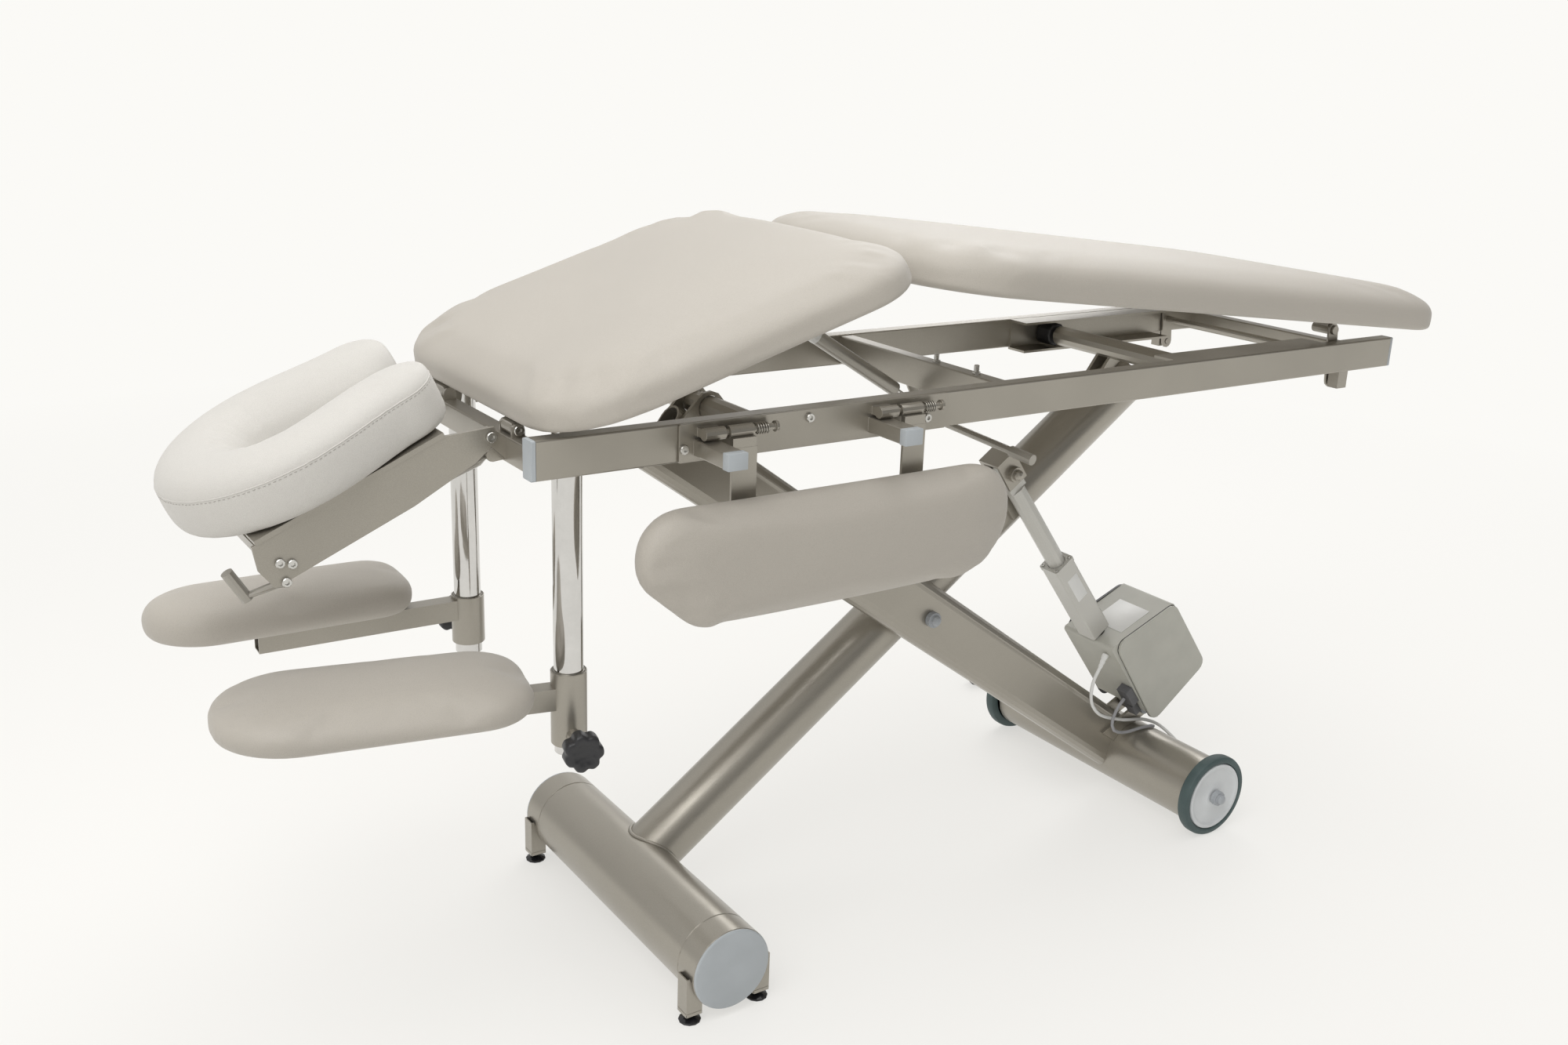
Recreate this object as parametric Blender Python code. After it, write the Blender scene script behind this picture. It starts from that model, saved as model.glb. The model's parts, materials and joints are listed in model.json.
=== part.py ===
"""Electric massage table: scissor lift, two-part bed, face cushion, arm rests and a side wing.

The table stands on the floor at z = 0, with its head end towards -X and its user side towards -Y.
Places are given from the head end of the rails, which the origin empty puts in the object's frame.
"""
import bpy
import bmesh
from math import acos, asin, atan2, ceil, cos, degrees, hypot, pi, radians, sin, sqrt
from mathutils import Matrix, Vector

# Whole table
RAIL_HEAD_X = -0.6586
ORIGIN_Y = 0.0041
CLEARANCE = 0.0003
RUNNING = 0.0005
OVERRUN = 0.02
WELD = 0.001
SMOOTH_ANGLE = radians(32)
BIG_ROUND = 20
ROUND = 12
SMALL_ROUND = 12

# Lift: two arms crossing at one bolt
AXLE_HEIGHT = 0.073
FOOT_X = 0.2575
WHEEL_X = 1.2505
SCISSOR_HEIGHT = 0.427
PIVOT_HEIGHT = 0.817
HEAD_PIVOT_X = 0.330
MIDDLE_X = (FOOT_X + WHEEL_X) / 2
ROLLER_X = 2 * MIDDLE_X - HEAD_PIVOT_X
ARM_ANGLE = atan2(SCISSOR_HEIGHT - AXLE_HEIGHT, MIDDLE_X - FOOT_X)
HALF_ARM = hypot(SCISSOR_HEIGHT - AXLE_HEIGHT, MIDDLE_X - FOOT_X)
FOOT_TUBE_R = 0.0605
WHEEL_TUBE_R = 0.059
INNER_ARM_Y = 0.030
INNER_ARM_R = 0.045
OUTER_ARM_Y = -0.0375
OUTER_ARM_WIDTH = 0.040
OUTER_ARM_HEIGHT = 0.100
TUBE_WALL = 0.003

# Top frame
RAIL_LENGTH = 1.615
RAIL_SPAN = 0.432
RAIL_WIDTH = 0.025
RAIL_HEIGHT = 0.050
RAIL_WALL = 0.002
RAIL_Z = 0.819
RAIL_Y = (RAIL_SPAN - RAIL_WIDTH) / 2
RAIL_INNER_Y = RAIL_SPAN / 2 - RAIL_WIDTH
RAIL_TOP = RAIL_Z + RAIL_HEIGHT / 2
RAIL_BOTTOM = RAIL_Z - RAIL_HEIGHT / 2

# Bed sections
HEAD_HINGE = (-0.018, 0.8305)
HEAD_TILT = radians(24)
CHEST_HINGE = (0.0165, 0.8358)
CHEST_TILT = radians(17.5)
LEG_HINGE = (1.490, 0.862)
LEG_TILT = radians(6.8)
LEG_LINK_FOOT = (1.500, 0.775)
PIN_R = 0.005
KNUCKLE_R = 0.0085

# Actuator
ACTUATOR_TOP = (0.904, 0.649)
ACTUATOR_FOOT = (1.272, 0.160)
ACTUATOR_Y = -0.0385
ACTUATOR_LENGTH = hypot(ACTUATOR_TOP[0] - ACTUATOR_FOOT[0], ACTUATOR_TOP[1] - ACTUATOR_FOOT[1])
ACTUATOR_ANGLE = atan2(ACTUATOR_TOP[1] - ACTUATOR_FOOT[1], ACTUATOR_TOP[0] - ACTUATOR_FOOT[0])

# Arm rests
POST_X = 0.0634
POST_Y = 0.1666
POST_R = 0.019


def arm_local(place_xz, origin, angle):
    """A place in the table's plane, in the frame of an arm."""
    dx = place_xz[0] - origin[0]
    dz = place_xz[1] - origin[1]
    return (dx * cos(angle) + dz * sin(angle), dz * cos(angle) - dx * sin(angle))


# Outlines and solids

def circle(radius, count=ROUND, at=(0, 0)):
    """Points of a circle, anticlockwise from its first axis."""
    steps = [2 * pi * i / count for i in range(count)]
    return [(at[0] + radius * cos(a), at[1] + radius * sin(a)) for a in steps]


def rounded(corners, radii, steps=4):
    """A polygon, listed anticlockwise, whose convex corners are arcs."""
    outline = []
    count = len(corners)
    for i, corner in enumerate(corners):
        here = Vector(corner)
        before = (Vector(corners[i - 1]) - here).normalized()
        after = (Vector(corners[(i + 1) % count]) - here).normalized()
        radius = radii[i] if isinstance(radii, (list, tuple)) else radii
        if radius == 0:
            outline.append(tuple(here))
            continue
        half = acos(max(-1.0, min(1.0, before.dot(after)))) / 2
        centre = here + (before + after).normalized() * (radius / sin(half))
        start = here + before * (radius * cos(half) / sin(half)) - centre
        end = here + after * (radius * cos(half) / sin(half)) - centre
        turn = start.angle_signed(end)
        for k in range(steps + 1):
            point = start.copy()
            point.rotate(Matrix.Rotation(-turn * k / steps, 2))
            outline.append(tuple(centre + point))
    return outline


def rect(width, height, radius=0.0, steps=3, at=(0, 0)):
    """A rectangle about a point, with rounded corners where a radius is given."""
    w = width / 2
    h = height / 2
    corners = [(at[0] - w, at[1] - h), (at[0] + w, at[1] - h), (at[0] + w, at[1] + h), (at[0] - w, at[1] + h)]
    return rounded(corners, radius, steps)


def split_long(outline, longest):
    """Adds points along an outline's long edges."""
    result = []
    for i, point in enumerate(outline):
        after = outline[(i + 1) % len(outline)]
        count = max(1, round(hypot(after[0] - point[0], after[1] - point[1]) / longest))
        for k in range(count):
            share = k / count
            result.append((point[0] + (after[0] - point[0]) * share, point[1] + (after[1] - point[1]) * share))
    return result


def place(axis, outline, level):
    """Puts an outline of the two other axes at a level of this axis."""
    if axis == "X":
        return [(level, u, v) for u, v in outline]
    if axis == "Y":
        return [(u, level, v) for u, v in outline]
    return [(u, v, level) for u, v in outline]


def loft(bm, loops, ring=False):
    """Skins loops of equal counts, capped at both ends, or closed last to first as a ring."""
    rows = [[bm.verts.new(point) for point in loop] for loop in loops]
    following = rows[1:] + rows[:1] if ring else rows[1:]
    for low, high in zip(rows, following):
        for i in range(len(low)):
            j = (i + 1) % len(low)
            bm.faces.new((low[i], low[j], high[j], high[i]))
    if not ring:
        bm.faces.new(rows[0])
        bm.faces.new(rows[-1])


def prism(bm, axis, outline, low, high):
    loft(bm, [place(axis, outline, low), place(axis, outline, high)])


def box(bm, low, high):
    outline = [(low[0], low[1]), (high[0], low[1]), (high[0], high[1]), (low[0], high[1])]
    prism(bm, "Z", outline, low[2], high[2])


def pipe(bm, axis, outer, inner, low, high):
    """An open tube between two outlines of equal counts."""
    loops = [place(axis, outer, low), place(axis, outer, high), place(axis, inner, high), place(axis, inner, low)]
    loft(bm, loops, ring=True)


def lathe(bm, axis, profile, at=(0, 0), count=ROUND, ring=False):
    """Turns a profile of (level, radius) about an axis through a point of the other two."""
    loft(bm, [place(axis, circle(radius, count, at), level) for level, radius in profile], ring)


# Scene helpers

MATERIALS = {}
WELDMENTS = ("inner_arm", "outer_arm", "top_frame", "foot_sleeve_near", "foot_sleeve_far")


def material(name, colour, roughness, metallic=0.0):
    made = bpy.data.materials.new(name)
    made.use_nodes = True
    shader = made.node_tree.nodes["Principled BSDF"]
    shader.inputs["Base Color"].default_value = (*colour, 1)
    shader.inputs["Roughness"].default_value = roughness
    shader.inputs["Metallic"].default_value = metallic
    made.diffuse_color = (*colour, 1)
    MATERIALS[name] = made


def pivot(name, x, z, y=0.0, tilt=0.0, swing=0.0):
    """An empty on a joint's axis, tilted about Y and swung about Z."""
    empty = bpy.data.objects.new(name, None)
    bpy.context.collection.objects.link(empty)
    empty.location = (x, y, z)
    empty.rotation_euler = (0, tilt, swing)
    empty.parent = bpy.data.objects.get("origin")
    return empty


def shells(bm):
    """The closed shells of a bmesh, as lists of faces, in the order in which they were made."""
    bm.faces.ensure_lookup_table()
    seen = set()
    found = []
    for face in bm.faces:
        if face in seen:
            continue
        seen.add(face)
        shell = [face]
        for member in shell:
            for edge in member.edges:
                for other in edge.link_faces:
                    if other not in seen:
                        seen.add(other)
                        shell.append(other)
        found.append(shell)
    return found


def shell_object(name, bm, shell, parent):
    copy = bmesh.new()
    made = {}
    for face in shell:
        for vert in face.verts:
            if vert not in made:
                made[vert] = copy.verts.new(vert.co)
        copy.faces.new([made[vert] for vert in face.verts])
    bmesh.ops.recalc_face_normals(copy, faces=copy.faces)
    if copy.calc_volume(signed=True) < 0:
        bmesh.ops.reverse_faces(copy, faces=copy.faces)
    mesh = bpy.data.meshes.new(name)
    copy.to_mesh(mesh)
    copy.free()
    mesh.shade_smooth()
    mesh.set_sharp_from_angle(angle=SMOOTH_ANGLE)
    thing = bpy.data.objects.new(name, mesh)
    bpy.context.collection.objects.link(thing)
    thing.parent = parent
    return thing


def boolean(target, tool, operation):
    tool.hide_render = True
    tool.display_type = "WIRE"
    change = target.modifiers.new(operation.lower(), "BOOLEAN")
    change.operation = operation
    change.solver = "MANIFOLD" if target.name in WELDMENTS else "EXACT"
    change.object = tool


def publish(name, bm, slot, parent, in_table=False):
    """Turns a bmesh into a named object, its overlapping shells joined, in its pivot's frame or the table's."""
    if in_table:
        bmesh.ops.translate(bm, verts=bm.verts, vec=-parent.location)
    pieces = shells(bm)
    thing = shell_object(name, bm, pieces[0], parent)
    thing.data.materials.append(MATERIALS[slot])
    for i, piece in enumerate(pieces[1:]):
        boolean(thing, shell_object(f"{name}_join_{i}", bm, piece, parent), "UNION")
    bm.free()
    return thing


def drill(target, axis, radius, low, high, at, count=SMALL_ROUND):
    """Cuts a round hole with a hidden cutter."""
    bm = bmesh.new()
    lathe(bm, axis, [(low, radius), (high, radius)], at, count)
    tool = shell_object(target.name + "_hole", bm, shells(bm)[0], target.parent)
    bm.free()
    boolean(target, tool, "DIFFERENCE")


def cord(name, points, radius, slot, parent, resolution=2):
    """A round cord or rod along points in the table's frame, with filled caps."""
    curve = bpy.data.curves.new(name, "CURVE")
    curve.dimensions = "3D"
    curve.bevel_depth = radius
    curve.bevel_resolution = resolution
    curve.use_fill_caps = True
    spline = curve.splines.new("POLY")
    spline.points.add(len(points) - 1)
    inverse = Matrix.LocRotScale(parent.location, parent.rotation_euler, None).inverted()
    for target, point in zip(spline.points, points):
        target.co = (*(inverse @ Vector(point)), 1)
    thing = bpy.data.objects.new(name, curve)
    bpy.context.collection.objects.link(thing)
    thing.parent = parent
    curve.materials.append(MATERIALS[slot])
    return thing


# Base: two sleeves in the foot tube's ends, on square legs with levelling feet

SLEEVE_END_Y = 0.2696
SLEEVE_LENGTH = 0.043
SLEEVE_SPIGOT = 0.045
SLEEVE_WALL = 0.003
FOOT_TUBE_WALL = 0.0035
SPIGOT_RUNNING = 0.0012
SPIGOT_R = FOOT_TUBE_R - FOOT_TUBE_WALL - SPIGOT_RUNNING
BORE_R = SPIGOT_R - SLEEVE_WALL
DISC_THICK = 0.003
DISC_EDGE = 0.0013
DISC_R = 0.060
LEG_SIZE = 0.025
LEG_WALL = 0.002
LEG_OFFSET_X = 0.055
LEG_Y = 0.2517
LEG_BOTTOM = 0.018
PLUG_THICK = 0.005
PLUG_DEPTH = 0.012
FOOT_PAD_R = 0.016
FOOT_PAD_TOP_R = 0.008
FOOT_PAD_EDGE = 0.0025
FOOT_PAD_THICK = 0.0065
FOOT_STEM_R = 0.004
FOOT_STEM_TOP = 0.034
LEG_POINTS = 6
STEM_GAP = 0.0005


def split_rect(width, height, x, y):
    """A rectangle with extra points along its first axis, so that an end can follow a round tube."""
    places = [x - width / 2 + width * i / (LEG_POINTS - 1) for i in range(LEG_POINTS)]
    return [(p, y - height / 2) for p in places] + [(p, y + height / 2) for p in reversed(places)]


def matched_circle(radius, count, at):
    """A circle whose first point lies by a rectangle's first corner."""
    steps = [-3 * pi / 4 - pi / count + 2 * pi * k / count for k in range(count)]
    return [(at[0] + radius * cos(a), at[1] + radius * sin(a)) for a in steps]


def coped(outline, radius, floor):
    """Lifts an outline to the underside of a tube along Y at the pivot."""
    return [(x, y, -sqrt(max(radius ** 2 - x ** 2, 0.0)) if abs(x) < radius else -floor) for x, y in outline]


def base(axis, feet_axes):
    for side, tag in ((-1, "near"), (1, "far")):
        bm = bmesh.new()
        inner = SLEEVE_END_Y - SLEEVE_LENGTH
        profile = [(SLEEVE_END_Y, FOOT_TUBE_R), (inner, FOOT_TUBE_R), (inner, SPIGOT_R),
                   (inner - SLEEVE_SPIGOT, SPIGOT_R), (inner - SLEEVE_SPIGOT, BORE_R), (SLEEVE_END_Y, BORE_R)]
        lathe(bm, "Y", [(side * y, r) for y, r in profile], count=BIG_ROUND, ring=True)
        face = SLEEVE_END_Y - WELD
        end = SLEEVE_END_Y + DISC_THICK
        profile = [(face, DISC_R), (end - DISC_EDGE, DISC_R), (end, DISC_R - DISC_EDGE)]
        lathe(bm, "Y", [(side * y, r) for y, r in profile], count=BIG_ROUND)
        for way, end_tag in ((-1, "head"), (1, "foot")):
            x = way * LEG_OFFSET_X
            y = side * LEG_Y
            outer = split_rect(LEG_SIZE, LEG_SIZE, x, y)
            inside = LEG_SIZE - 2 * LEG_WALL
            hollow = split_rect(inside, inside, x, y)
            reach = FOOT_TUBE_R - WELD
            low = LEG_BOTTOM - AXLE_HEIGHT
            loft(bm, [place("Z", outer, low), coped(outer, reach, 0.0),
                      coped(hollow, reach, 0.0), place("Z", hollow, low)], ring=True)
            size = inside + WELD
            wide = rect(LEG_SIZE + WELD, LEG_SIZE + WELD, LEG_WALL, at=(x, y))
            slim = rect(size, size, LEG_WALL, at=(x, y))
            hole = matched_circle(FOOT_STEM_R + STEM_GAP, len(wide), (x, y))
            top = low + WELD / 2
            loft(bm, [place("Z", wide, top - PLUG_THICK), place("Z", wide, top), place("Z", slim, top),
                      place("Z", slim, top + PLUG_DEPTH), place("Z", hole, top + PLUG_DEPTH),
                      place("Z", hole, top - PLUG_THICK)], ring=True)
            foot = bmesh.new()
            profile = [(0, FOOT_PAD_R), (FOOT_PAD_EDGE, FOOT_PAD_R), (FOOT_PAD_THICK, FOOT_PAD_TOP_R),
                       (FOOT_PAD_THICK, FOOT_STEM_R), (FOOT_STEM_TOP, FOOT_STEM_R)]
            lathe(foot, "Z", profile)
            publish(f"levelling_foot_{tag}_{end_tag}", foot, "black_gloss", feet_axes[side, way])
        publish("foot_sleeve_" + tag, bm, "frame_paint", axis)


# Inner arm: foot tube, round tube, roller shaft and the actuator's upper bracket

FOOT_TUBE_HALF = SLEEVE_END_Y - SLEEVE_LENGTH - RUNNING
ROLLER_LOCAL = arm_local((ROLLER_X, PIVOT_HEIGHT), (FOOT_X, AXLE_HEIGHT), ARM_ANGLE)
INNER_ARM_PAST = 0.0086
INNER_ARM_END = ROLLER_LOCAL[0] + INNER_ARM_PAST
SCISSOR_BOLT_R = 0.010
SHAFT_R = 0.017
SHAFT_HALF = 0.1455
STUB_R = 0.010
STUB_HALF = 0.186
ROLLER_R = 0.0205
ROLLER_Y = 0.1525
ROLLER_WIDTH = 0.0335
ROLLER_CHAMFER = 0.002
GUSSET_THICK = 0.006
GUSSET_Y = 0.014
GUSSET_REACH = 0.095
GUSSET_TOP_ANGLE = radians(30)
GUSSET_STEPS = 6
BRACKET_WALL = 0.005
BRACKET_SPAN = 0.032
BRACKET_HALF_LENGTH = 0.020
BRACKET_TOP = 0.028
BRACKET_DROP = 0.022
BRACKET_FOOT = 0.010
EYE_THICK = 0.024
EYE_R = 0.017
BOLT_R = 0.009
NUT_R = 0.013
NUT_THICK = 0.010
DOME_R = 0.009
DOME_HEIGHT = 0.009
DOME_EDGE = 0.001
DOME_SHARES = (0.5, 0.85, 1)


def nut_profile(face, direction):
    """The profile of a domed cap nut on a face."""
    dome = face + direction * NUT_THICK
    profile = [(face, NUT_R), (dome, NUT_R), (dome, DOME_R)]
    return profile + [(dome + direction * DOME_HEIGHT * s, DOME_R * sqrt(1 - s ** 2) + DOME_EDGE)
                      for s in DOME_SHARES]


def capped_nut(bm, face, direction, at):
    lathe(bm, "Y", nut_profile(face, direction), at, SMALL_ROUND)


def inner_arm(axis, roller_axis):
    bm = bmesh.new()
    outer = circle(FOOT_TUBE_R, BIG_ROUND)
    pipe(bm, "Y", outer, circle(FOOT_TUBE_R - FOOT_TUBE_WALL, BIG_ROUND), -FOOT_TUBE_HALF, FOOT_TUBE_HALF)
    outer = circle(INNER_ARM_R, BIG_ROUND, (INNER_ARM_Y, 0))
    hollow = circle(INNER_ARM_R - TUBE_WALL, BIG_ROUND, (INNER_ARM_Y, 0))
    reach = FOOT_TUBE_R - WELD
    start = [(sqrt(reach ** 2 - z ** 2), y, z) for y, z in outer]
    start_in = [(sqrt(reach ** 2 - z ** 2), y, z) for y, z in hollow]
    loft(bm, [start, place("X", outer, INNER_ARM_END), place("X", hollow, INNER_ARM_END), start_in], ring=True)
    profile = [(-STUB_HALF, STUB_R), (-SHAFT_HALF, STUB_R), (-SHAFT_HALF, SHAFT_R), (SHAFT_HALF, SHAFT_R),
               (SHAFT_HALF, STUB_R), (STUB_HALF, STUB_R)]
    lathe(bm, "Y", profile, ROLLER_LOCAL)
    for side in (-1, 1):
        middle = INNER_ARM_Y + side * GUSSET_Y
        foot = sqrt(INNER_ARM_R ** 2 - (GUSSET_Y + GUSSET_THICK / 2) ** 2) - WELD
        reach = SHAFT_R - WELD
        sweep = [-GUSSET_TOP_ANGLE - (pi - 2 * GUSSET_TOP_ANGLE) * k / GUSSET_STEPS for k in range(GUSSET_STEPS + 1)]
        saddle = [(ROLLER_LOCAL[0] + reach * cos(a), ROLLER_LOCAL[1] + reach * sin(a)) for a in sweep]
        outline = [(INNER_ARM_END - WELD, foot)] + saddle + [(INNER_ARM_END - GUSSET_REACH, foot)]
        prism(bm, "Y", outline, middle - GUSSET_THICK / 2, middle + GUSSET_THICK / 2)
    eye = arm_local(ACTUATOR_TOP, (FOOT_X, AXLE_HEIGHT), ARM_ANGLE)
    near = ACTUATOR_Y - BRACKET_SPAN / 2
    far = ACTUATOR_Y + BRACKET_SPAN / 2
    tube_side = INNER_ARM_Y - INNER_ARM_R + 2 * WELD
    top = eye[1] + BRACKET_TOP
    outline = [(near - BRACKET_WALL, eye[1] - BRACKET_DROP), (near, eye[1] - BRACKET_DROP), (near, top),
               (far, top), (far, -BRACKET_FOOT), (tube_side, -BRACKET_FOOT), (tube_side, top + BRACKET_WALL),
               (near - BRACKET_WALL, top + BRACKET_WALL)]
    prism(bm, "X", outline, eye[0] - BRACKET_HALF_LENGTH, eye[0] + BRACKET_HALF_LENGTH)
    capped_nut(bm, near - BRACKET_WALL + WELD, -1, eye)
    for low, high in ((near - WELD, ACTUATOR_Y - EYE_THICK / 2 - CLEARANCE),
                      (ACTUATOR_Y + EYE_THICK / 2 + CLEARANCE, far + WELD)):
        lathe(bm, "Y", [(low, BOLT_R), (high, BOLT_R)], eye, SMALL_ROUND)
    arm = publish("inner_arm", bm, "frame_paint", axis)
    drill(arm, "Y", SCISSOR_BOLT_R + RUNNING, -INNER_ARM_R, 2 * INNER_ARM_R, (HALF_ARM, 0))

    for side, name in ((-1, "roller_near"), (1, "roller_far")):
        bm = bmesh.new()
        far_face = ROLLER_Y + ROLLER_WIDTH
        bore = STUB_R + CLEARANCE
        profile = [(ROLLER_Y, ROLLER_R - ROLLER_CHAMFER), (ROLLER_Y + ROLLER_CHAMFER, ROLLER_R),
                   (far_face - ROLLER_CHAMFER, ROLLER_R), (far_face, ROLLER_R - ROLLER_CHAMFER),
                   (far_face, bore), (ROLLER_Y, bore)]
        lathe(bm, "Y", [(side * y, r) for y, r in profile], ring=True)
        publish(name, bm, "black_plastic", roller_axis)


# Outer arm: flat oval tube, wheel tube, cheek plates, bolts, caps and wheels

OUTER_ARM_HEAD = 0.605
COPE_STEP = 0.012
WHEEL_TUBE_HALF = 0.235
WHEEL_TUBE_WALL = 0.0035
AXLE_PLATE_Y = 0.226
AXLE_PLATE_THICK = 0.008
AXLE_R = 0.008
AXLE_HEAD_R = 0.013
AXLE_HEAD_THICK = 0.011
WHEEL_Y = 0.2405
WHEEL_WIDTH = 0.0215
WHEEL_R = AXLE_HEIGHT
RIM_R = 0.0595
RIM_INNER_R = 0.0525
RIM_RECESS = 0.004
HUB_BOSS_R = 0.016
TYRE_SHOULDER = 0.004
CHEEK_THICK = 0.0055
EAR_R = 0.0235
EAR_FOOT = 0.060
PIVOT_TUBE_R = 0.017
PIVOT_RUNNING = 0.0008
LOWER_EYE_R = 0.018
LOWER_PIN_R = 0.008
LOWER_PIN_HEAD = 0.005
LOWER_FOOT = 0.065
LOWER_SWEEP = radians(55)
EYE_STEPS = 6


def tab_outline(centre, radius, foot_low, foot_high, level):
    """A tab from two foot points at one level up round an eye."""
    outline = [(foot_low, level), (foot_high, level)]
    for k in range(EYE_STEPS + 1):
        angle = pi * k / EYE_STEPS
        outline.append((centre[0] + radius * cos(angle), centre[1] + radius * sin(angle)))
    return outline


def outer_arm(axis, wheel_axis):
    ear = arm_local((HEAD_PIVOT_X, PIVOT_HEIGHT), (MIDDLE_X, SCISSOR_HEIGHT), -ARM_ANGLE)
    foot = arm_local(ACTUATOR_FOOT, (MIDDLE_X, SCISSOR_HEIGHT), -ARM_ANGLE)
    wheel = (HALF_ARM, 0)

    bm = bmesh.new()
    corner = OUTER_ARM_WIDTH / 2 - CLEARANCE
    centre = (OUTER_ARM_Y, 0)
    outer = split_long(rect(OUTER_ARM_WIDTH, OUTER_ARM_HEIGHT, corner, 4, centre), COPE_STEP)
    thin = 2 * TUBE_WALL
    hollow = rect(OUTER_ARM_WIDTH - thin, OUTER_ARM_HEIGHT - thin, corner - TUBE_WALL, 4, centre)
    hollow = split_long(hollow, COPE_STEP)
    reach = WHEEL_TUBE_R - WELD
    end = [(HALF_ARM - sqrt(reach ** 2 - z ** 2), y, z) for y, z in outer]
    end_in = [(HALF_ARM - sqrt(reach ** 2 - z ** 2), y, z) for y, z in hollow]
    loft(bm, [place("X", outer, -OUTER_ARM_HEAD), end, end_in, place("X", hollow, -OUTER_ARM_HEAD)], ring=True)
    wall_r = WHEEL_TUBE_R - WHEEL_TUBE_WALL
    pipe(bm, "Y", circle(WHEEL_TUBE_R, BIG_ROUND, wheel), circle(wall_r, BIG_ROUND, wheel),
         -WHEEL_TUBE_HALF, WHEEL_TUBE_HALF)
    plate_r = wall_r + WELD
    for side in (-1, 1):
        low = AXLE_PLATE_Y
        high = AXLE_PLATE_Y + AXLE_PLATE_THICK
        bore = AXLE_R + CLEARANCE
        profile = [(low, plate_r), (high, plate_r), (high, bore), (low, bore)]
        lathe(bm, "Y", [(side * y, r) for y, r in profile], wheel, BIG_ROUND, True)
    near = OUTER_ARM_Y - OUTER_ARM_WIDTH / 2 + WELD
    far = OUTER_ARM_Y + OUTER_ARM_WIDTH / 2 - WELD
    ear_outline = tab_outline(ear, EAR_R, -OUTER_ARM_HEAD, -OUTER_ARM_HEAD + EAR_FOOT, 0)
    round_tube = WHEEL_TUBE_R + 2 * RUNNING
    sweep = [pi - LOWER_SWEEP * k / EYE_STEPS for k in range(1, EYE_STEPS + 1)]
    foot_outline = tab_outline(foot, LOWER_EYE_R, foot[0] - LOWER_FOOT, HALF_ARM - round_tube, 0)
    foot_outline[2:2] = [(HALF_ARM + round_tube * cos(a), round_tube * sin(a)) for a in sweep]
    for outline in (ear_outline, foot_outline):
        prism(bm, "Y", outline, near - CHEEK_THICK, near)
        prism(bm, "Y", outline, far, far + CHEEK_THICK)
    arm = publish("outer_arm", bm, "frame_paint", axis)
    drill(arm, "Y", PIVOT_TUBE_R + PIVOT_RUNNING, near - OVERRUN, far + OVERRUN, ear, ROUND)
    drill(arm, "Y", LOWER_PIN_R + CLEARANCE, near - OVERRUN, far + OVERRUN, foot)
    drill(arm, "Y", SCISSOR_BOLT_R + CLEARANCE, near - OVERRUN, far + OVERRUN, (0, 0))

    bm = bmesh.new()
    arm_near = OUTER_ARM_Y - OUTER_ARM_WIDTH / 2 - CLEARANCE
    arm_far = INNER_ARM_Y + INNER_ARM_R + CLEARANCE
    profile = nut_profile(arm_near, -1)[::-1] + [(arm_near, SCISSOR_BOLT_R), (arm_far, SCISSOR_BOLT_R),
                                                  (arm_far, NUT_R + DOME_EDGE), (arm_far + NUT_THICK, NUT_R)]
    lathe(bm, "Y", profile, count=SMALL_ROUND)
    publish("scissor_bolt", bm, "steel", axis)

    bm = bmesh.new()
    out_near = near - CHEEK_THICK - CLEARANCE
    out_far = far + CHEEK_THICK + CLEARANCE
    head_r = LOWER_PIN_R + LOWER_PIN_HEAD
    profile = [(out_near - LOWER_PIN_HEAD, head_r), (out_near, head_r), (out_near, LOWER_PIN_R),
               (out_far, LOWER_PIN_R), (out_far, head_r), (out_far + LOWER_PIN_HEAD, head_r)]
    lathe(bm, "Y", profile, foot, SMALL_ROUND)
    publish("actuator_pin", bm, "steel", axis)

    for side, tag in ((-1, "near"), (1, "far")):
        bm = bmesh.new()
        inner = AXLE_PLATE_Y - CLEARANCE
        outer_face = WHEEL_Y + WHEEL_WIDTH + CLEARANCE
        profile = [(inner - AXLE_HEAD_THICK, AXLE_HEAD_R), (inner, AXLE_HEAD_R), (inner, AXLE_R),
                   (outer_face, AXLE_R)] + nut_profile(outer_face, 1)
        lathe(bm, "Y", [(side * y, r) for y, r in profile], wheel, SMALL_ROUND)
        publish("wheel_axle_" + tag, bm, "steel", axis)

    for side, tyre, hub in ((-1, "tyre_near", "hub_near"), (1, "tyre_far", "hub_far")):
        outer_face = WHEEL_Y + WHEEL_WIDTH
        bm = bmesh.new()
        bore = RIM_R + CLEARANCE
        profile = [(WHEEL_Y, bore), (WHEEL_Y, WHEEL_R - TYRE_SHOULDER), (WHEEL_Y + TYRE_SHOULDER, WHEEL_R),
                   (outer_face - TYRE_SHOULDER, WHEEL_R), (outer_face, WHEEL_R - TYRE_SHOULDER), (outer_face, bore)]
        lathe(bm, "Y", [(side * y, r) for y, r in profile], count=BIG_ROUND, ring=True)
        publish(tyre, bm, "tyre_rubber", wheel_axis)
        bm = bmesh.new()
        bore = AXLE_R + CLEARANCE
        recess = outer_face - RIM_RECESS
        profile = [(WHEEL_Y, bore), (WHEEL_Y, RIM_R), (outer_face, RIM_R), (outer_face, RIM_INNER_R),
                   (recess, RIM_INNER_R), (recess, HUB_BOSS_R), (outer_face, HUB_BOSS_R), (outer_face, bore)]
        lathe(bm, "Y", [(side * y, r) for y, r in profile], count=BIG_ROUND, ring=True)
        publish(hub, bm, "hub_plastic", wheel_axis)


# Actuator: square tube, gear housing with two covers, plugs, lead and rod

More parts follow.
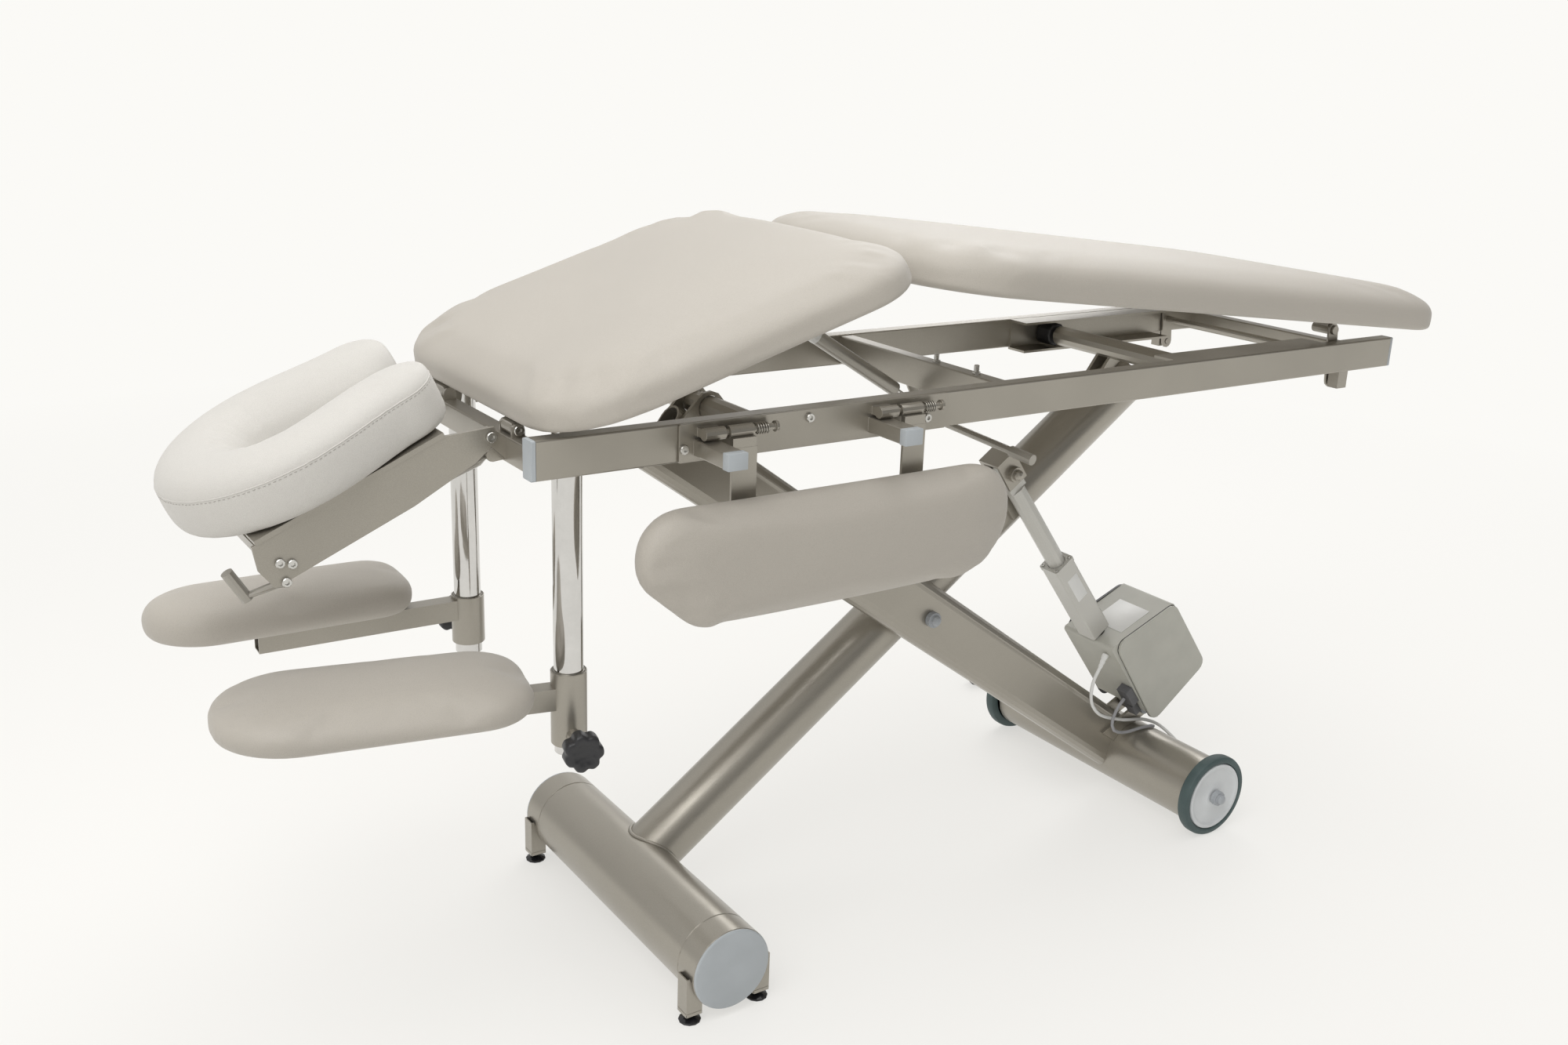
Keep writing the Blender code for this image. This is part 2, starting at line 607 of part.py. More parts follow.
ACT_TUBE_SIZE = 0.042
ACT_TUBE_CORNER = 0.004
ACT_TUBE_START = 0.2115
ACT_TUBE_END = 0.383
ACT_CAP_THICK = 0.008
ACT_CAP_LIP = 0.001
ACT_ROD_R = 0.0155
ACT_ROD_START = 0.250
HOUSING_TOP = 0.209
HOUSING_CORNER_TOP = 0.169
HOUSING_RIGHT = 0.131
HOUSING_LOW = 0.026
HOUSING_BORE = 0.050
COVER_LOW = 0.003
HOUSING_HALF_DEPTH = 0.0597
COVER_THICK = 0.005
COVER_LEFT_TOP = 0.012
COVER_LEFT_LOW = 0.021
COVER_R = 0.018
HOUSING_R = 0.006
TAIL_HALF = 0.0175
TAIL_R = 0.017
GLAND_R = 0.006
GLAND_LENGTH = 0.010
GLAND_PLACE = (0.180, -0.075)
PLUG_ONE = ((0.062, -0.096), (0.100, -0.072), 0.016)
PLUG_TWO = ((0.028, -0.086), (0.052, -0.066), 0.014)
EYE_FLAT = 0.040
EYE_FILLET = 0.0015
EYE_END_ANGLE = radians(80)


def actuator(axis, arm_axis):
    side = ACT_TUBE_SIZE / 2
    centre = (ACTUATOR_Y, 0)
    bm = bmesh.new()
    square = rect(ACT_TUBE_SIZE, ACT_TUBE_SIZE, ACT_TUBE_CORNER, 3, centre)
    bore = matched_circle(ACT_ROD_R + 2 * RUNNING, len(square), centre)
    pipe(bm, "X", square, bore, ACT_TUBE_START, ACT_TUBE_END)
    wide = ACT_TUBE_SIZE + 2 * ACT_CAP_LIP
    lid = rect(wide, wide, ACT_TUBE_CORNER, 3, centre)
    low = ACT_TUBE_END - WELD
    bore = matched_circle(ACT_ROD_R + RUNNING, len(square), centre)
    pipe(bm, "X", lid, bore, low, low + ACT_CAP_THICK)
    publish("actuator_tube", bm, "actuator_grey", axis)

    bm = bmesh.new()
    outline = [(HOUSING_LOW, -HOUSING_RIGHT), (HOUSING_CORNER_TOP, -HOUSING_RIGHT), (HOUSING_TOP, side),
               (HOUSING_LOW, side)]
    half = HOUSING_HALF_DEPTH
    prism(bm, "Y", rounded(outline, HOUSING_R), ACTUATOR_Y - half, ACTUATOR_Y + half)
    tail = [(HOUSING_LOW + WELD, -TAIL_R), (HOUSING_LOW + WELD, TAIL_R)]
    for k in range(EYE_STEPS + 1):
        angle = pi / 2 + pi * k / EYE_STEPS
        tail.append((TAIL_R * cos(angle), TAIL_R * sin(angle)))
    prism(bm, "Y", tail, ACTUATOR_Y - TAIL_HALF, ACTUATOR_Y + TAIL_HALF)
    lathe(bm, "Z", [(side - WELD, GLAND_R), (side + GLAND_LENGTH, GLAND_R)], GLAND_PLACE, SMALL_ROUND)
    housing = publish("gear_housing", bm, "housing_green_grey", axis)
    drill(housing, "Y", LOWER_PIN_R + CLEARANCE, ACTUATOR_Y - half, ACTUATOR_Y + half, (0, 0))
    drill(housing, "X", ACT_ROD_R + 2 * RUNNING, HOUSING_BORE, HOUSING_TOP + OVERRUN, (ACTUATOR_Y, 0))

    outline = [(COVER_LOW, -HOUSING_RIGHT), (HOUSING_CORNER_TOP, -HOUSING_RIGHT), (HOUSING_TOP, COVER_LEFT_TOP),
               (COVER_LOW, COVER_LEFT_LOW)]
    cover = rounded(outline, COVER_R)
    for way, tag in ((-1, "near"), (1, "far")):
        bm = bmesh.new()
        inner = ACTUATOR_Y + way * (half + CLEARANCE)
        prism(bm, "Y", cover, inner, inner + way * COVER_THICK)
        publish("housing_cover_" + tag, bm, "housing_beige", axis)

    face = side + CLEARANCE
    for name, (low, high, height) in (("motor_plug", PLUG_ONE), ("hand_plug", PLUG_TWO)):
        bm = bmesh.new()
        box(bm, (low[0], low[1], face), (high[0], high[1], face + height))
        publish(name, bm, "plug_grey", axis)

    bm = bmesh.new()
    flat = ACTUATOR_LENGTH - EYE_FLAT

    def section(x, half_y, half_z, corner):
        return place("X", rect(2 * half_y, 2 * half_z, corner, 3, (ACTUATOR_Y, 0)), x)

    round_corner = ACT_ROD_R - CLEARANCE
    half_y = EYE_THICK / 2
    loops = [section(ACT_ROD_START, ACT_ROD_R, ACT_ROD_R, round_corner),
             section(flat - CLEARANCE, ACT_ROD_R, ACT_ROD_R, round_corner),
             section(flat, half_y, EYE_R, EYE_FILLET)]
    for k in range(EYE_STEPS // 2 + 1):
        angle = EYE_END_ANGLE * k / (EYE_STEPS // 2)
        loops.append(section(ACTUATOR_LENGTH + EYE_R * sin(angle), half_y, EYE_R * cos(angle), EYE_FILLET))
    loft(bm, loops)
    publish("actuator_rod", bm, "actuator_grey", axis)


# Top frame

CROSSBAR_WIDTH = 0.025
CROSSBAR_LOW_HEIGHT = 0.033
HEAD_BAR_X = 0.004
MIDDLE_BAR_X = 0.730
FOOT_BAR_X = 1.566
CHANNEL_START = 1.100
CHANNEL_END = 1.460
CHANNEL_WALL = 0.004
CHANNEL_HEIGHT = 0.053
CHANNEL_FLANGE_Y = 0.150
CAP_THICK = 0.006
CAP_DEPTH = 0.015
POST_NEAR_LOW = 0.410
POST_FAR_LOW = 0.430
POST_WALL = 0.002
POST_TOP_GAP = 0.001
POST_BLOCK_HALF = 0.014
STUD_R = 0.004
STUD_HEIGHT = 0.014
STUD_Y = 0.110
SCREW_HEAD_R = 0.0065
SCREW_HEAD = 0.005
HINGE_LUG_R = 0.011
HEAD_LUG_Y = 0.1145
HEAD_LUG_THICK = 0.005
HEAD_PLATE_THICK = 0.005
PIN_HEAD_R = 0.008
PIN_END = 0.0042
NUT_SMALL_R = 0.0075
LINK_Y = 0.1855
LINK_THICK = 0.004
SPRING_PIN = (-0.010, 0.803)
SPRING_LUG_Y = 0.100
SPRING_LUG_GAP = 0.016
SPRING_LUG_THICK = 0.004
CHEST_SPRING_PIN = (0.775, 0.748)
CHEST_LUG_R = 0.016
CHEST_LUG_GAP = 0.026
CHEST_LUG_THICK = 0.004
CHEST_LUG_FOOT = 0.0205
CHEST_LUG_INNER = 0.0895
CHEST_LUG_OUTER = 0.1255
HEAD_PIN = (0.1155, 0.1265)
CHEST_PIN = (0.0905, 0.1295)
LINK_PIN = (0.1842, 0.1950)
WEEP_R = 0.003
WEEP_Y = 0.100
LINK_LUG_Y = 0.1935
LINK_LUG_THICK = 0.020
LINK_LUG_HALF = 0.012
LINK_LUG_LOW = 0.765

# Wing hinge on the near rail
PLATE_START = 0.191
PLATE_END = 0.617
PLATE_THICK = 0.004
PLATE_Y = -RAIL_SPAN / 2 - CLEARANCE
WING_PIN_Z = 0.832
WING_PIN_Y = -0.236
WING_PITCH = 0.271
WING_PIN_R = 0.0045
WING_PIN_END = 0.321
FIXED_KNUCKLE = (0.216, 0.246)
MOVING_KNUCKLE = (0.2515, 0.2875)
LUG_HALF_HEIGHT = 0.006
STOP_SIZE = 0.028
STOP_HEIGHT = 0.021
STOP_X = 0.226
STOP_Z = 0.8123
STOP_END_Y = -0.290
STOP_WALL = 0.002


def tongue(bm, at, radius, start, foot, low, high):
    """A lug across Y from two foot points round an eye."""
    outline = list(foot)
    for k in range(EYE_STEPS + 1):
        angle = start + pi * k / EYE_STEPS
        outline.append((at[0] + radius * cos(angle), at[1] + radius * sin(angle)))
    prism(bm, "Y", outline, low, high)


def top_frame(axis):
    bm = bmesh.new()
    thin = 2 * RAIL_WALL
    for side in (-1, 1):
        outer = rect(RAIL_WIDTH, RAIL_HEIGHT, RAIL_WALL, 2, (side * RAIL_Y, RAIL_Z))
        inner = rect(RAIL_WIDTH - thin, RAIL_HEIGHT - thin, RAIL_WALL / 2, 2, (side * RAIL_Y, RAIL_Z))
        pipe(bm, "X", outer, inner, 0, RAIL_LENGTH)
    reach = RAIL_INNER_Y + WELD
    bars = ((HEAD_BAR_X, CROSSBAR_LOW_HEIGHT, RAIL_BOTTOM + CROSSBAR_LOW_HEIGHT / 2),
            (MIDDLE_BAR_X, RAIL_HEIGHT - thin, RAIL_Z),
            (FOOT_BAR_X, CROSSBAR_LOW_HEIGHT, RAIL_BOTTOM + CROSSBAR_LOW_HEIGHT / 2))
    for start, height, middle in bars:
        centre = (start + CROSSBAR_WIDTH / 2, middle)
        pipe(bm, "Y", rect(CROSSBAR_WIDTH, height, RAIL_WALL, 2, centre),
             rect(CROSSBAR_WIDTH - thin, height - thin, RAIL_WALL / 2, 2, centre), -reach, reach)
    tube = (HEAD_PIVOT_X, PIVOT_HEIGHT)
    pipe(bm, "Y", circle(PIVOT_TUBE_R, ROUND, tube), circle(PIVOT_TUBE_R - TUBE_WALL, ROUND, tube), -reach, reach)
    bar_face = HEAD_BAR_X + WELD
    bar_top = RAIL_BOTTOM + CROSSBAR_LOW_HEIGHT
    for side in (-1, 1):
        rail_side = side * reach
        post_side = side * (POST_Y + POST_R + CLEARANCE)
        box(bm, (POST_X - POST_BLOCK_HALF, min(rail_side, post_side), RAIL_BOTTOM + thin),
            (POST_X + POST_BLOCK_HALF, max(rail_side, post_side), RAIL_TOP - thin))
        foot = [(bar_face, RAIL_BOTTOM + thin), (bar_face, bar_top - WELD)]
        tongue(bm, HEAD_HINGE, HINGE_LUG_R, pi / 2, foot, side * HEAD_LUG_Y, side * (HEAD_LUG_Y + HEAD_LUG_THICK))
        lathe(bm, "Y", [(side * HEAD_PIN[0], PIN_R), (side * HEAD_PIN[1], PIN_R)], HEAD_HINGE, SMALL_ROUND)
        foot = [(CHEST_HINGE[0] - KNUCKLE_R, bar_top - WELD), (CHEST_HINGE[0] + KNUCKLE_R, bar_top - WELD)]
        for low in (CHEST_LUG_INNER, CHEST_LUG_OUTER):
            tongue(bm, CHEST_HINGE, KNUCKLE_R, 0, foot, side * low, side * (low + HEAD_LUG_THICK))
        lathe(bm, "Y", [(side * CHEST_PIN[0], PIN_R), (side * CHEST_PIN[1], PIN_R)], CHEST_HINGE, SMALL_ROUND)
        low = side * LINK_LUG_Y
        high = side * (LINK_LUG_Y + LINK_LUG_THICK)
        box(bm, (LEG_LINK_FOOT[0] - LINK_LUG_HALF, min(low, high), LINK_LUG_LOW),
            (LEG_LINK_FOOT[0] + LINK_LUG_HALF, max(low, high), RAIL_BOTTOM + WELD))
        lathe(bm, "Y", [(side * LINK_PIN[0], PIN_R), (side * LINK_PIN[1], PIN_R)], LEG_LINK_FOOT, SMALL_ROUND)
    for way in (-1, 1):
        low = -SPRING_LUG_Y + way * SPRING_LUG_GAP / 2
        foot = [(bar_face, RAIL_BOTTOM + 2 * WELD), (bar_face, SPRING_PIN[1] + KNUCKLE_R)]
        tongue(bm, SPRING_PIN, KNUCKLE_R, pi / 2, foot, low, low + way * SPRING_LUG_THICK)
        low = way * CHEST_LUG_GAP / 2
        level = RAIL_BOTTOM + thin + WELD
        foot = [(MIDDLE_BAR_X + CHEST_LUG_FOOT, level), (MIDDLE_BAR_X + RAIL_WALL, level)]
        tongue(bm, CHEST_SPRING_PIN, CHEST_LUG_R, pi, foot, low, low + way * CHEST_LUG_THICK)
    half = SPRING_LUG_GAP / 2 + WELD
    lathe(bm, "Y", [(-SPRING_LUG_Y - half, PIN_R), (-SPRING_LUG_Y + half, PIN_R)], SPRING_PIN, SMALL_ROUND)
    low = PIVOT_HEIGHT - CHANNEL_HEIGHT / 2
    high = PIVOT_HEIGHT + CHANNEL_HEIGHT / 2
    for side in (-1, 1):
        web = reach
        outline = [(web, low), (web, high), (CHANNEL_FLANGE_Y, high), (CHANNEL_FLANGE_Y, high - CHANNEL_WALL),
                   (web - CHANNEL_WALL, high - CHANNEL_WALL), (web - CHANNEL_WALL, low + CHANNEL_WALL),
                   (CHANNEL_FLANGE_Y, low + CHANNEL_WALL), (CHANNEL_FLANGE_Y, low)]
        prism(bm, "X", [(side * y, z) for y, z in outline], CHANNEL_START, CHANNEL_END)
    frame = publish("top_frame", bm, "frame_paint", axis, in_table=True)
    for start, height, middle in bars:
        local = (start + CROSSBAR_WIDTH / 2 - HEAD_PIVOT_X, 0)
        low = middle - height / 2 - PIVOT_HEIGHT
        drill(frame, "Z", WEEP_R, low - WELD, low + thin, local)
    drill(frame, "Z", WEEP_R, -PIVOT_TUBE_R - WELD, -PIVOT_TUBE_R + thin, (0, WEEP_Y))

    thin = 2 * RAIL_WALL + 2 * CLEARANCE
    for side, tag in ((-1, "near"), (1, "far")):
        centre = (side * RAIL_Y, RAIL_Z)
        wide = rect(RAIL_WIDTH, RAIL_HEIGHT, RAIL_WALL, 2, centre)
        slim = rect(RAIL_WIDTH - thin, RAIL_HEIGHT - thin, RAIL_WALL / 2, 2, centre)
        for end, way, end_tag in ((0, 1, "head"), (RAIL_LENGTH, -1, "foot")):
            bm = bmesh.new()
            levels = [(wide, end - way * CAP_THICK), (wide, end - way * CLEARANCE), (slim, end - way * CLEARANCE),
                      (slim, end + way * CAP_DEPTH)]
            loft(bm, [place("X", outline, level) for outline, level in levels])
            publish(f"rail_cap_{tag}_{end_tag}", bm, "cap_plastic", axis, in_table=True)
    for side, tag, low in ((-1, "near", POST_NEAR_LOW), (1, "far", POST_FAR_LOW)):
        bm = bmesh.new()
        centre = (POST_X, side * POST_Y)
        pipe(bm, "Z", circle(POST_R, BIG_ROUND, centre), circle(POST_R - POST_WALL, BIG_ROUND, centre),
             low, RAIL_TOP - POST_TOP_GAP)
        publish("arm_post_" + tag, bm, "chrome", axis, in_table=True)
    wing_hinge(axis)


def wing_hinge(axis):
    bm = bmesh.new()
    front = PLATE_Y - PLATE_THICK
    outline = rect(PLATE_END - PLATE_START, RAIL_HEIGHT, RAIL_WALL, 2, ((PLATE_START + PLATE_END) / 2, RAIL_Z))
    prism(bm, "Y", outline, front, PLATE_Y)
    for k in range(2):
        shift = k * WING_PITCH
        low = FIXED_KNUCKLE[0] + shift
        high = FIXED_KNUCKLE[1] + shift
        nut = WING_PIN_END + shift
        profile = [(low, KNUCKLE_R), (high, KNUCKLE_R), (high, WING_PIN_R), (nut, WING_PIN_R), (nut, NUT_SMALL_R),
                   (nut + PIN_END, NUT_SMALL_R)]
        lathe(bm, "X", profile, (WING_PIN_Y, WING_PIN_Z))
        box(bm, (low + WELD, WING_PIN_Y + PIN_R, WING_PIN_Z - LUG_HALF_HEIGHT),
            (high - WELD, front + WELD, WING_PIN_Z + LUG_HALF_HEIGHT))
        centre = (STOP_X + shift, STOP_Z)
        prism(bm, "Y", rect(STOP_SIZE, STOP_HEIGHT, STOP_WALL, 2, centre), STOP_END_Y - CAP_THICK, front + WELD)
    publish("wing_plate", bm, "frame_paint", axis, in_table=True)


# Cushions

CUSHION_RINGS = ((0.012, 0.0), (0.002, 0.12), (0.0, 0.5), (0.004, 0.82), (0.013, 0.96), (0.026, 1.0))
CROWN_SHARES = (0.7, 0.3)


def inset(outline, distance):
    moved = []
    count = len(outline)
    for i, point in enumerate(outline):
        along = Vector(outline[(i + 1) % count]) - Vector(outline[i - 1])
        normal = Vector((along.y, -along.x)).normalized()
        moved.append((point[0] - normal.x * distance, point[1] - normal.y * distance))
    return moved


def bowed(outline, bow):
    """Pushes the two ends of an outline outwards in a shallow bow."""
    low = min(p[0] for p in outline)
    high = max(p[0] for p in outline)
    left = min(p[1] for p in outline)
    right = max(p[1] for p in outline)
    centre = (low + high) / 2
    across = (left + right) / 2
    half = (right - left) / 2
    result = []
    for u, v in outline:
        push = bow * (1 - ((v - across) / half) ** 2)
        result.append((u + (push if u > centre else -push), v))
    return result


def cushion(bm, outline, bottom, thick, crown, put=lambda u, v, w: (u, v, w)):
    """A crowned pad with drawn-in sides over an outline."""
    loops = []
    for distance, share in CUSHION_RINGS:
        loops.append([(u, v, bottom + thick * share) for u, v in inset(outline, distance)])
    last = loops[-1]
    cu = sum(p[0] for p in last) / len(last)
    cv = sum(p[1] for p in last) / len(last)
    for share in CROWN_SHARES:
        height = bottom + thick + crown * (1 - share ** 2)
        loops.append([(cu + (u - cu) * share, cv + (v - cv) * share, height) for u, v, w in last])
    loft(bm, [[put(*point) for point in loop] for loop in loops])


# Head section, in the head hinge's frame with -X outwards

HEAD_PLATE_Y = 0.1205
HEAD_PLATE = ((-0.009, -0.008), (0.03, -0.020), (0.12, -0.028), (0.305, -0.028), (0.312, 0.0), (0.305, 0.030),
              (0.05, 0.030), (-0.009, 0.009))
HEAD_BAR = (0.272, 0.298)
HEAD_BAR_Z = (-0.012, 0.014)
STRIP = (0.05, 0.30)
STRIP_Y = 0.088
STRIP_Z = (0.0290, 0.0357)
HEAD_PAD_BOTTOM = 0.036
HEAD_PAD_THICK = 0.070
HEAD_PAD_CROWN = 0.009
HEAD_PAD_HALF = 0.0625
HEAD_RING_R = 0.090
HEAD_RING_U = 0.205
LOBE_U = 0.075
LOBE_Y = 0.066
LOBE_END = 0.022
LOBE_STEPS = 4
HEAD_SPRING_EYE = (0.235, -0.012)
EYE_STUB_R = 0.006
EYE_HALF = 0.006
HEAD_SECTION = ((0, 0), (0.45, 0), (0.74, 0), (0.92, 0.1), (0.99, 0.36), (1, 0.58), (0.95, 0.78), (0.80, 0.92),
                (0.45, 1.0), (0, 1.0))
LEVER_PATH = ((0.285, -0.112, -0.0127), (0.285, -0.112, -0.020), (0.291, -0.111, -0.036),
              (0.300, -0.098, -0.036), (0.334, -0.080, -0.037), (0.339, -0.080, 0.0005))
LEVER_R = 0.005
LEVER_SEAT_R = 0.002
LEVER_TIP_R = 0.0075
HEAD_SEAM = 0.55
HEAD_END_LOW = 0.45
SPRING_NECK_R = 0.005
SPRING_NECK = 0.010
HEAD_GAS_R = 0.009
HEAD_GAS_END = 0.140
GAS_BORE_R = 0.0045
GAS_ROD_R = 0.004
GAS_ROD_START = 0.045
HEAD_GAS_OUT = (HEAD_HINGE[0] - HEAD_SPRING_EYE[0] * cos(HEAD_TILT) - HEAD_SPRING_EYE[1] * sin(HEAD_TILT),
                HEAD_HINGE[1] - HEAD_SPRING_EYE[0] * sin(HEAD_TILT) + HEAD_SPRING_EYE[1] * cos(HEAD_TILT))
HEAD_GAS_REST = hypot(HEAD_GAS_OUT[0] - SPRING_PIN[0], HEAD_GAS_OUT[1] - SPRING_PIN[1])
HEAD_GAS_ANGLE = atan2(HEAD_GAS_OUT[1] - SPRING_PIN[1], HEAD_GAS_OUT[0] - SPRING_PIN[0])
LEVER_PIVOT = (-0.285, -0.112, -0.012)


def rod_between(bm, start, end, radius, count=SMALL_ROUND):
    """A round bar between two points."""
    a = Vector(start)
    b = Vector(end)
    along = (b - a).normalized()
    side = along.orthogonal().normalized()
    other = along.cross(side)
    ring = [2 * pi * k / count for k in range(count)]
    loft(bm, [[p + radius * (cos(t) * side + sin(t) * other) for t in ring] for p in (a, b)])


def head_section(axis, spring_axis, rod_axis, lever_axis):
    bm = bmesh.new()
    outline = [(-u, h) for u, h in HEAD_PLATE]
    for side in (-1, 1):
        prism(bm, "Y", outline, side * HEAD_PLATE_Y, side * (HEAD_PLATE_Y + HEAD_PLATE_THICK))
        edge = HEAD_PLATE_Y + HEAD_PLATE_THICK + WELD
        low = min(side * STRIP_Y, side * edge)
        high = max(side * STRIP_Y, side * edge)
        box(bm, (-STRIP[1], low, STRIP_Z[0]), (-STRIP[0], high, STRIP_Z[1]))
    reach = HEAD_PLATE_Y + WELD
    box(bm, (-HEAD_BAR[1], -reach, HEAD_BAR_Z[0]), (-HEAD_BAR[0], reach, HEAD_BAR_Z[1]))
    eye = (-HEAD_SPRING_EYE[0], HEAD_SPRING_EYE[1])
    lathe(bm, "Y", [(-reach, EYE_STUB_R), (-SPRING_LUG_Y - EYE_HALF - CLEARANCE, EYE_STUB_R)], eye, SMALL_ROUND)
    frame = publish("head_frame", bm, "frame_paint", axis)
    drill(frame, "Y", PIN_R + CLEARANCE, -HEAD_PLATE_Y - OVERRUN, HEAD_PLATE_Y + OVERRUN, (0, 0))

    # Centre line of the horseshoe: lobe, side, half round, side, lobe
    line = []
    for k in range(1, LOBE_STEPS + 1):
        swell = pi / 2 * k / LOBE_STEPS
        line.append((LOBE_END + (LOBE_U - LOBE_END) * (1 - cos(swell)), LOBE_Y, sin(swell)))
    line.append(((LOBE_U + HEAD_RING_U) / 2, (LOBE_Y + HEAD_RING_R) / 2, 1))
    half_turn = [(HEAD_RING_U + HEAD_RING_R * sin(a), HEAD_RING_R * cos(a), 1)
                 for a in [pi * k / (2 * LOBE_STEPS) for k in range(LOBE_STEPS + 1)]]
    line += half_turn
    line += [(u, -v, s) for u, v, s in reversed(line[:-1])]
    loops = []
    for i, (u, v, swell) in enumerate(line):
        before = line[max(i - 1, 0)]
        after = line[min(i + 1, len(line) - 1)]
        along = Vector((after[0] - before[0], after[1] - before[1])).normalized()
        if i < LOBE_STEPS or i >= len(line) - LOBE_STEPS:
            along = Vector((1 if i < LOBE_STEPS else -1, 0))
        out = Vector((-along.y, along.x))
        section = list(HEAD_SECTION) + [(-a, h) for a, h in reversed(HEAD_SECTION[1:-1])]
        loop = []
        for across, height in section:
            level = HEAD_SEAM + (height - HEAD_SEAM) * (HEAD_END_LOW + (1 - HEAD_END_LOW) * swell)
            lift = HEAD_PAD_CROWN * (1 - across ** 2) * swell if height == 1 else 0
            place_uv = Vector((u, v)) + out * across * HEAD_PAD_HALF * swell
            loop.append((-place_uv.x, place_uv.y, HEAD_PAD_BOTTOM + HEAD_PAD_THICK * level + lift))
        loops.append(loop)
    bm = bmesh.new()
    loft(bm, loops)
    publish("head_cushion", bm, "vinyl_light", axis)

    # Gas spring from the frame to the head section
    bm = bmesh.new()
    lathe(bm, "Y", [(-EYE_HALF, KNUCKLE_R - RUNNING), (EYE_HALF, KNUCKLE_R - RUNNING), (EYE_HALF, PIN_R + CLEARANCE),
                    (-EYE_HALF, PIN_R + CLEARANCE)], ring=True)
    neck = KNUCKLE_R - 2 * WELD
    lathe(bm, "X", [(neck, SPRING_NECK_R), (neck + SPRING_NECK, HEAD_GAS_R), (HEAD_GAS_END, HEAD_GAS_R),
                    (HEAD_GAS_END, GAS_BORE_R), (neck + 2 * SPRING_NECK, GAS_BORE_R)])
    publish("head_spring", bm, "actuator_grey", spring_axis)
    bm = bmesh.new()
    reach = HEAD_GAS_REST
    lathe(bm, "X", [(neck + GAS_ROD_START, GAS_ROD_R), (reach - PIN_R, GAS_ROD_R)], count=SMALL_ROUND)
    lathe(bm, "Y", [(-EYE_HALF, KNUCKLE_R - RUNNING), (EYE_HALF, KNUCKLE_R - RUNNING)], (reach, 0))
    publish("head_spring_rod", bm, "chrome", rod_axis)

    bm = bmesh.new()
    path = [(-u - LEVER_PIVOT[0], v - LEVER_PIVOT[1], h - LEVER_PIVOT[2]) for u, v, h in LEVER_PATH]
    spread = [Vector(p) for p in path]
    corner = spread[-2]
    loops = []
    ring = [2 * pi * k / SMALL_ROUND for k in range(SMALL_ROUND)]
    for i, point in enumerate(spread[:-1]):
        along = (spread[i + 1] - spread[max(i - 1, 0)]).normalized()
        side = along.cross(Vector((0, 1, 0))).normalized()
        other = along.cross(side)
        radius = LEVER_R if i else LEVER_SEAT_R
        loops.append([point + radius * (cos(t) * side + sin(t) * other) for t in ring])
    loft(bm, loops)
    rod_between(bm, corner - Vector((0, 0, LEVER_R)), spread[-1], LEVER_TIP_R)
    publish("head_lever", bm, "steel", lever_axis)



# Chest section, in the chest hinge's frame

CHEST_PAD = ((-0.014, -0.267), (0.114, -0.293), (0.560, -0.305), (0.560, 0.305), (0.114, 0.293), (-0.014, 0.267))
CHEST_RADII = (0.12, 0.17, 0.109, 0.109, 0.17, 0.12)
CHEST_PAD_BOTTOM = 0.0107
CHEST_PAD_THICK = 0.050
CHEST_CROWN = 0.010
CHEST_KNUCKLE = (0.0948, 0.1252)
STRAP_Y = 0.110
STRAP_HALF = 0.015
CHEST_STRAP = (-0.004, 0.50)
CHEST_STRAP_Z = (0.0063, 0.0103)
CHEST_BAR = (0.425, 0.455)
CHEST_BAR_Z = (0.0020, 0.0073)
CHEST_BAR_Y = 0.125
CHEST_EYE = (0.44, -0.015)
CHEST_EYE_LUG_Y = 0.0145
CHEST_GAS_R = 0.011
CHEST_GAS_END = 0.3026
CHEST_EYE_R = 0.010
CHEST_ROD_START = 0.110
LEVER_FOOT = (0.775, -0.0179, 0.742)
LEVER_END = (0.804, -0.205, 0.720)
CHEST_LEVER_R = 0.006
LEVER_GRIP_R = 0.0085
LEVER_GRIP_SHARE = 0.8
CHEST_OUT = (CHEST_HINGE[0] + CHEST_EYE[0] * cos(CHEST_TILT) - CHEST_EYE[1] * sin(CHEST_TILT),
             CHEST_HINGE[1] + CHEST_EYE[0] * sin(CHEST_TILT) + CHEST_EYE[1] * cos(CHEST_TILT))
CHEST_GAS_REST = hypot(CHEST_SPRING_PIN[0] - CHEST_OUT[0], CHEST_SPRING_PIN[1] - CHEST_OUT[1])
CHEST_GAS_ANGLE = atan2(CHEST_SPRING_PIN[1] - CHEST_OUT[1], CHEST_SPRING_PIN[0] - CHEST_OUT[0])


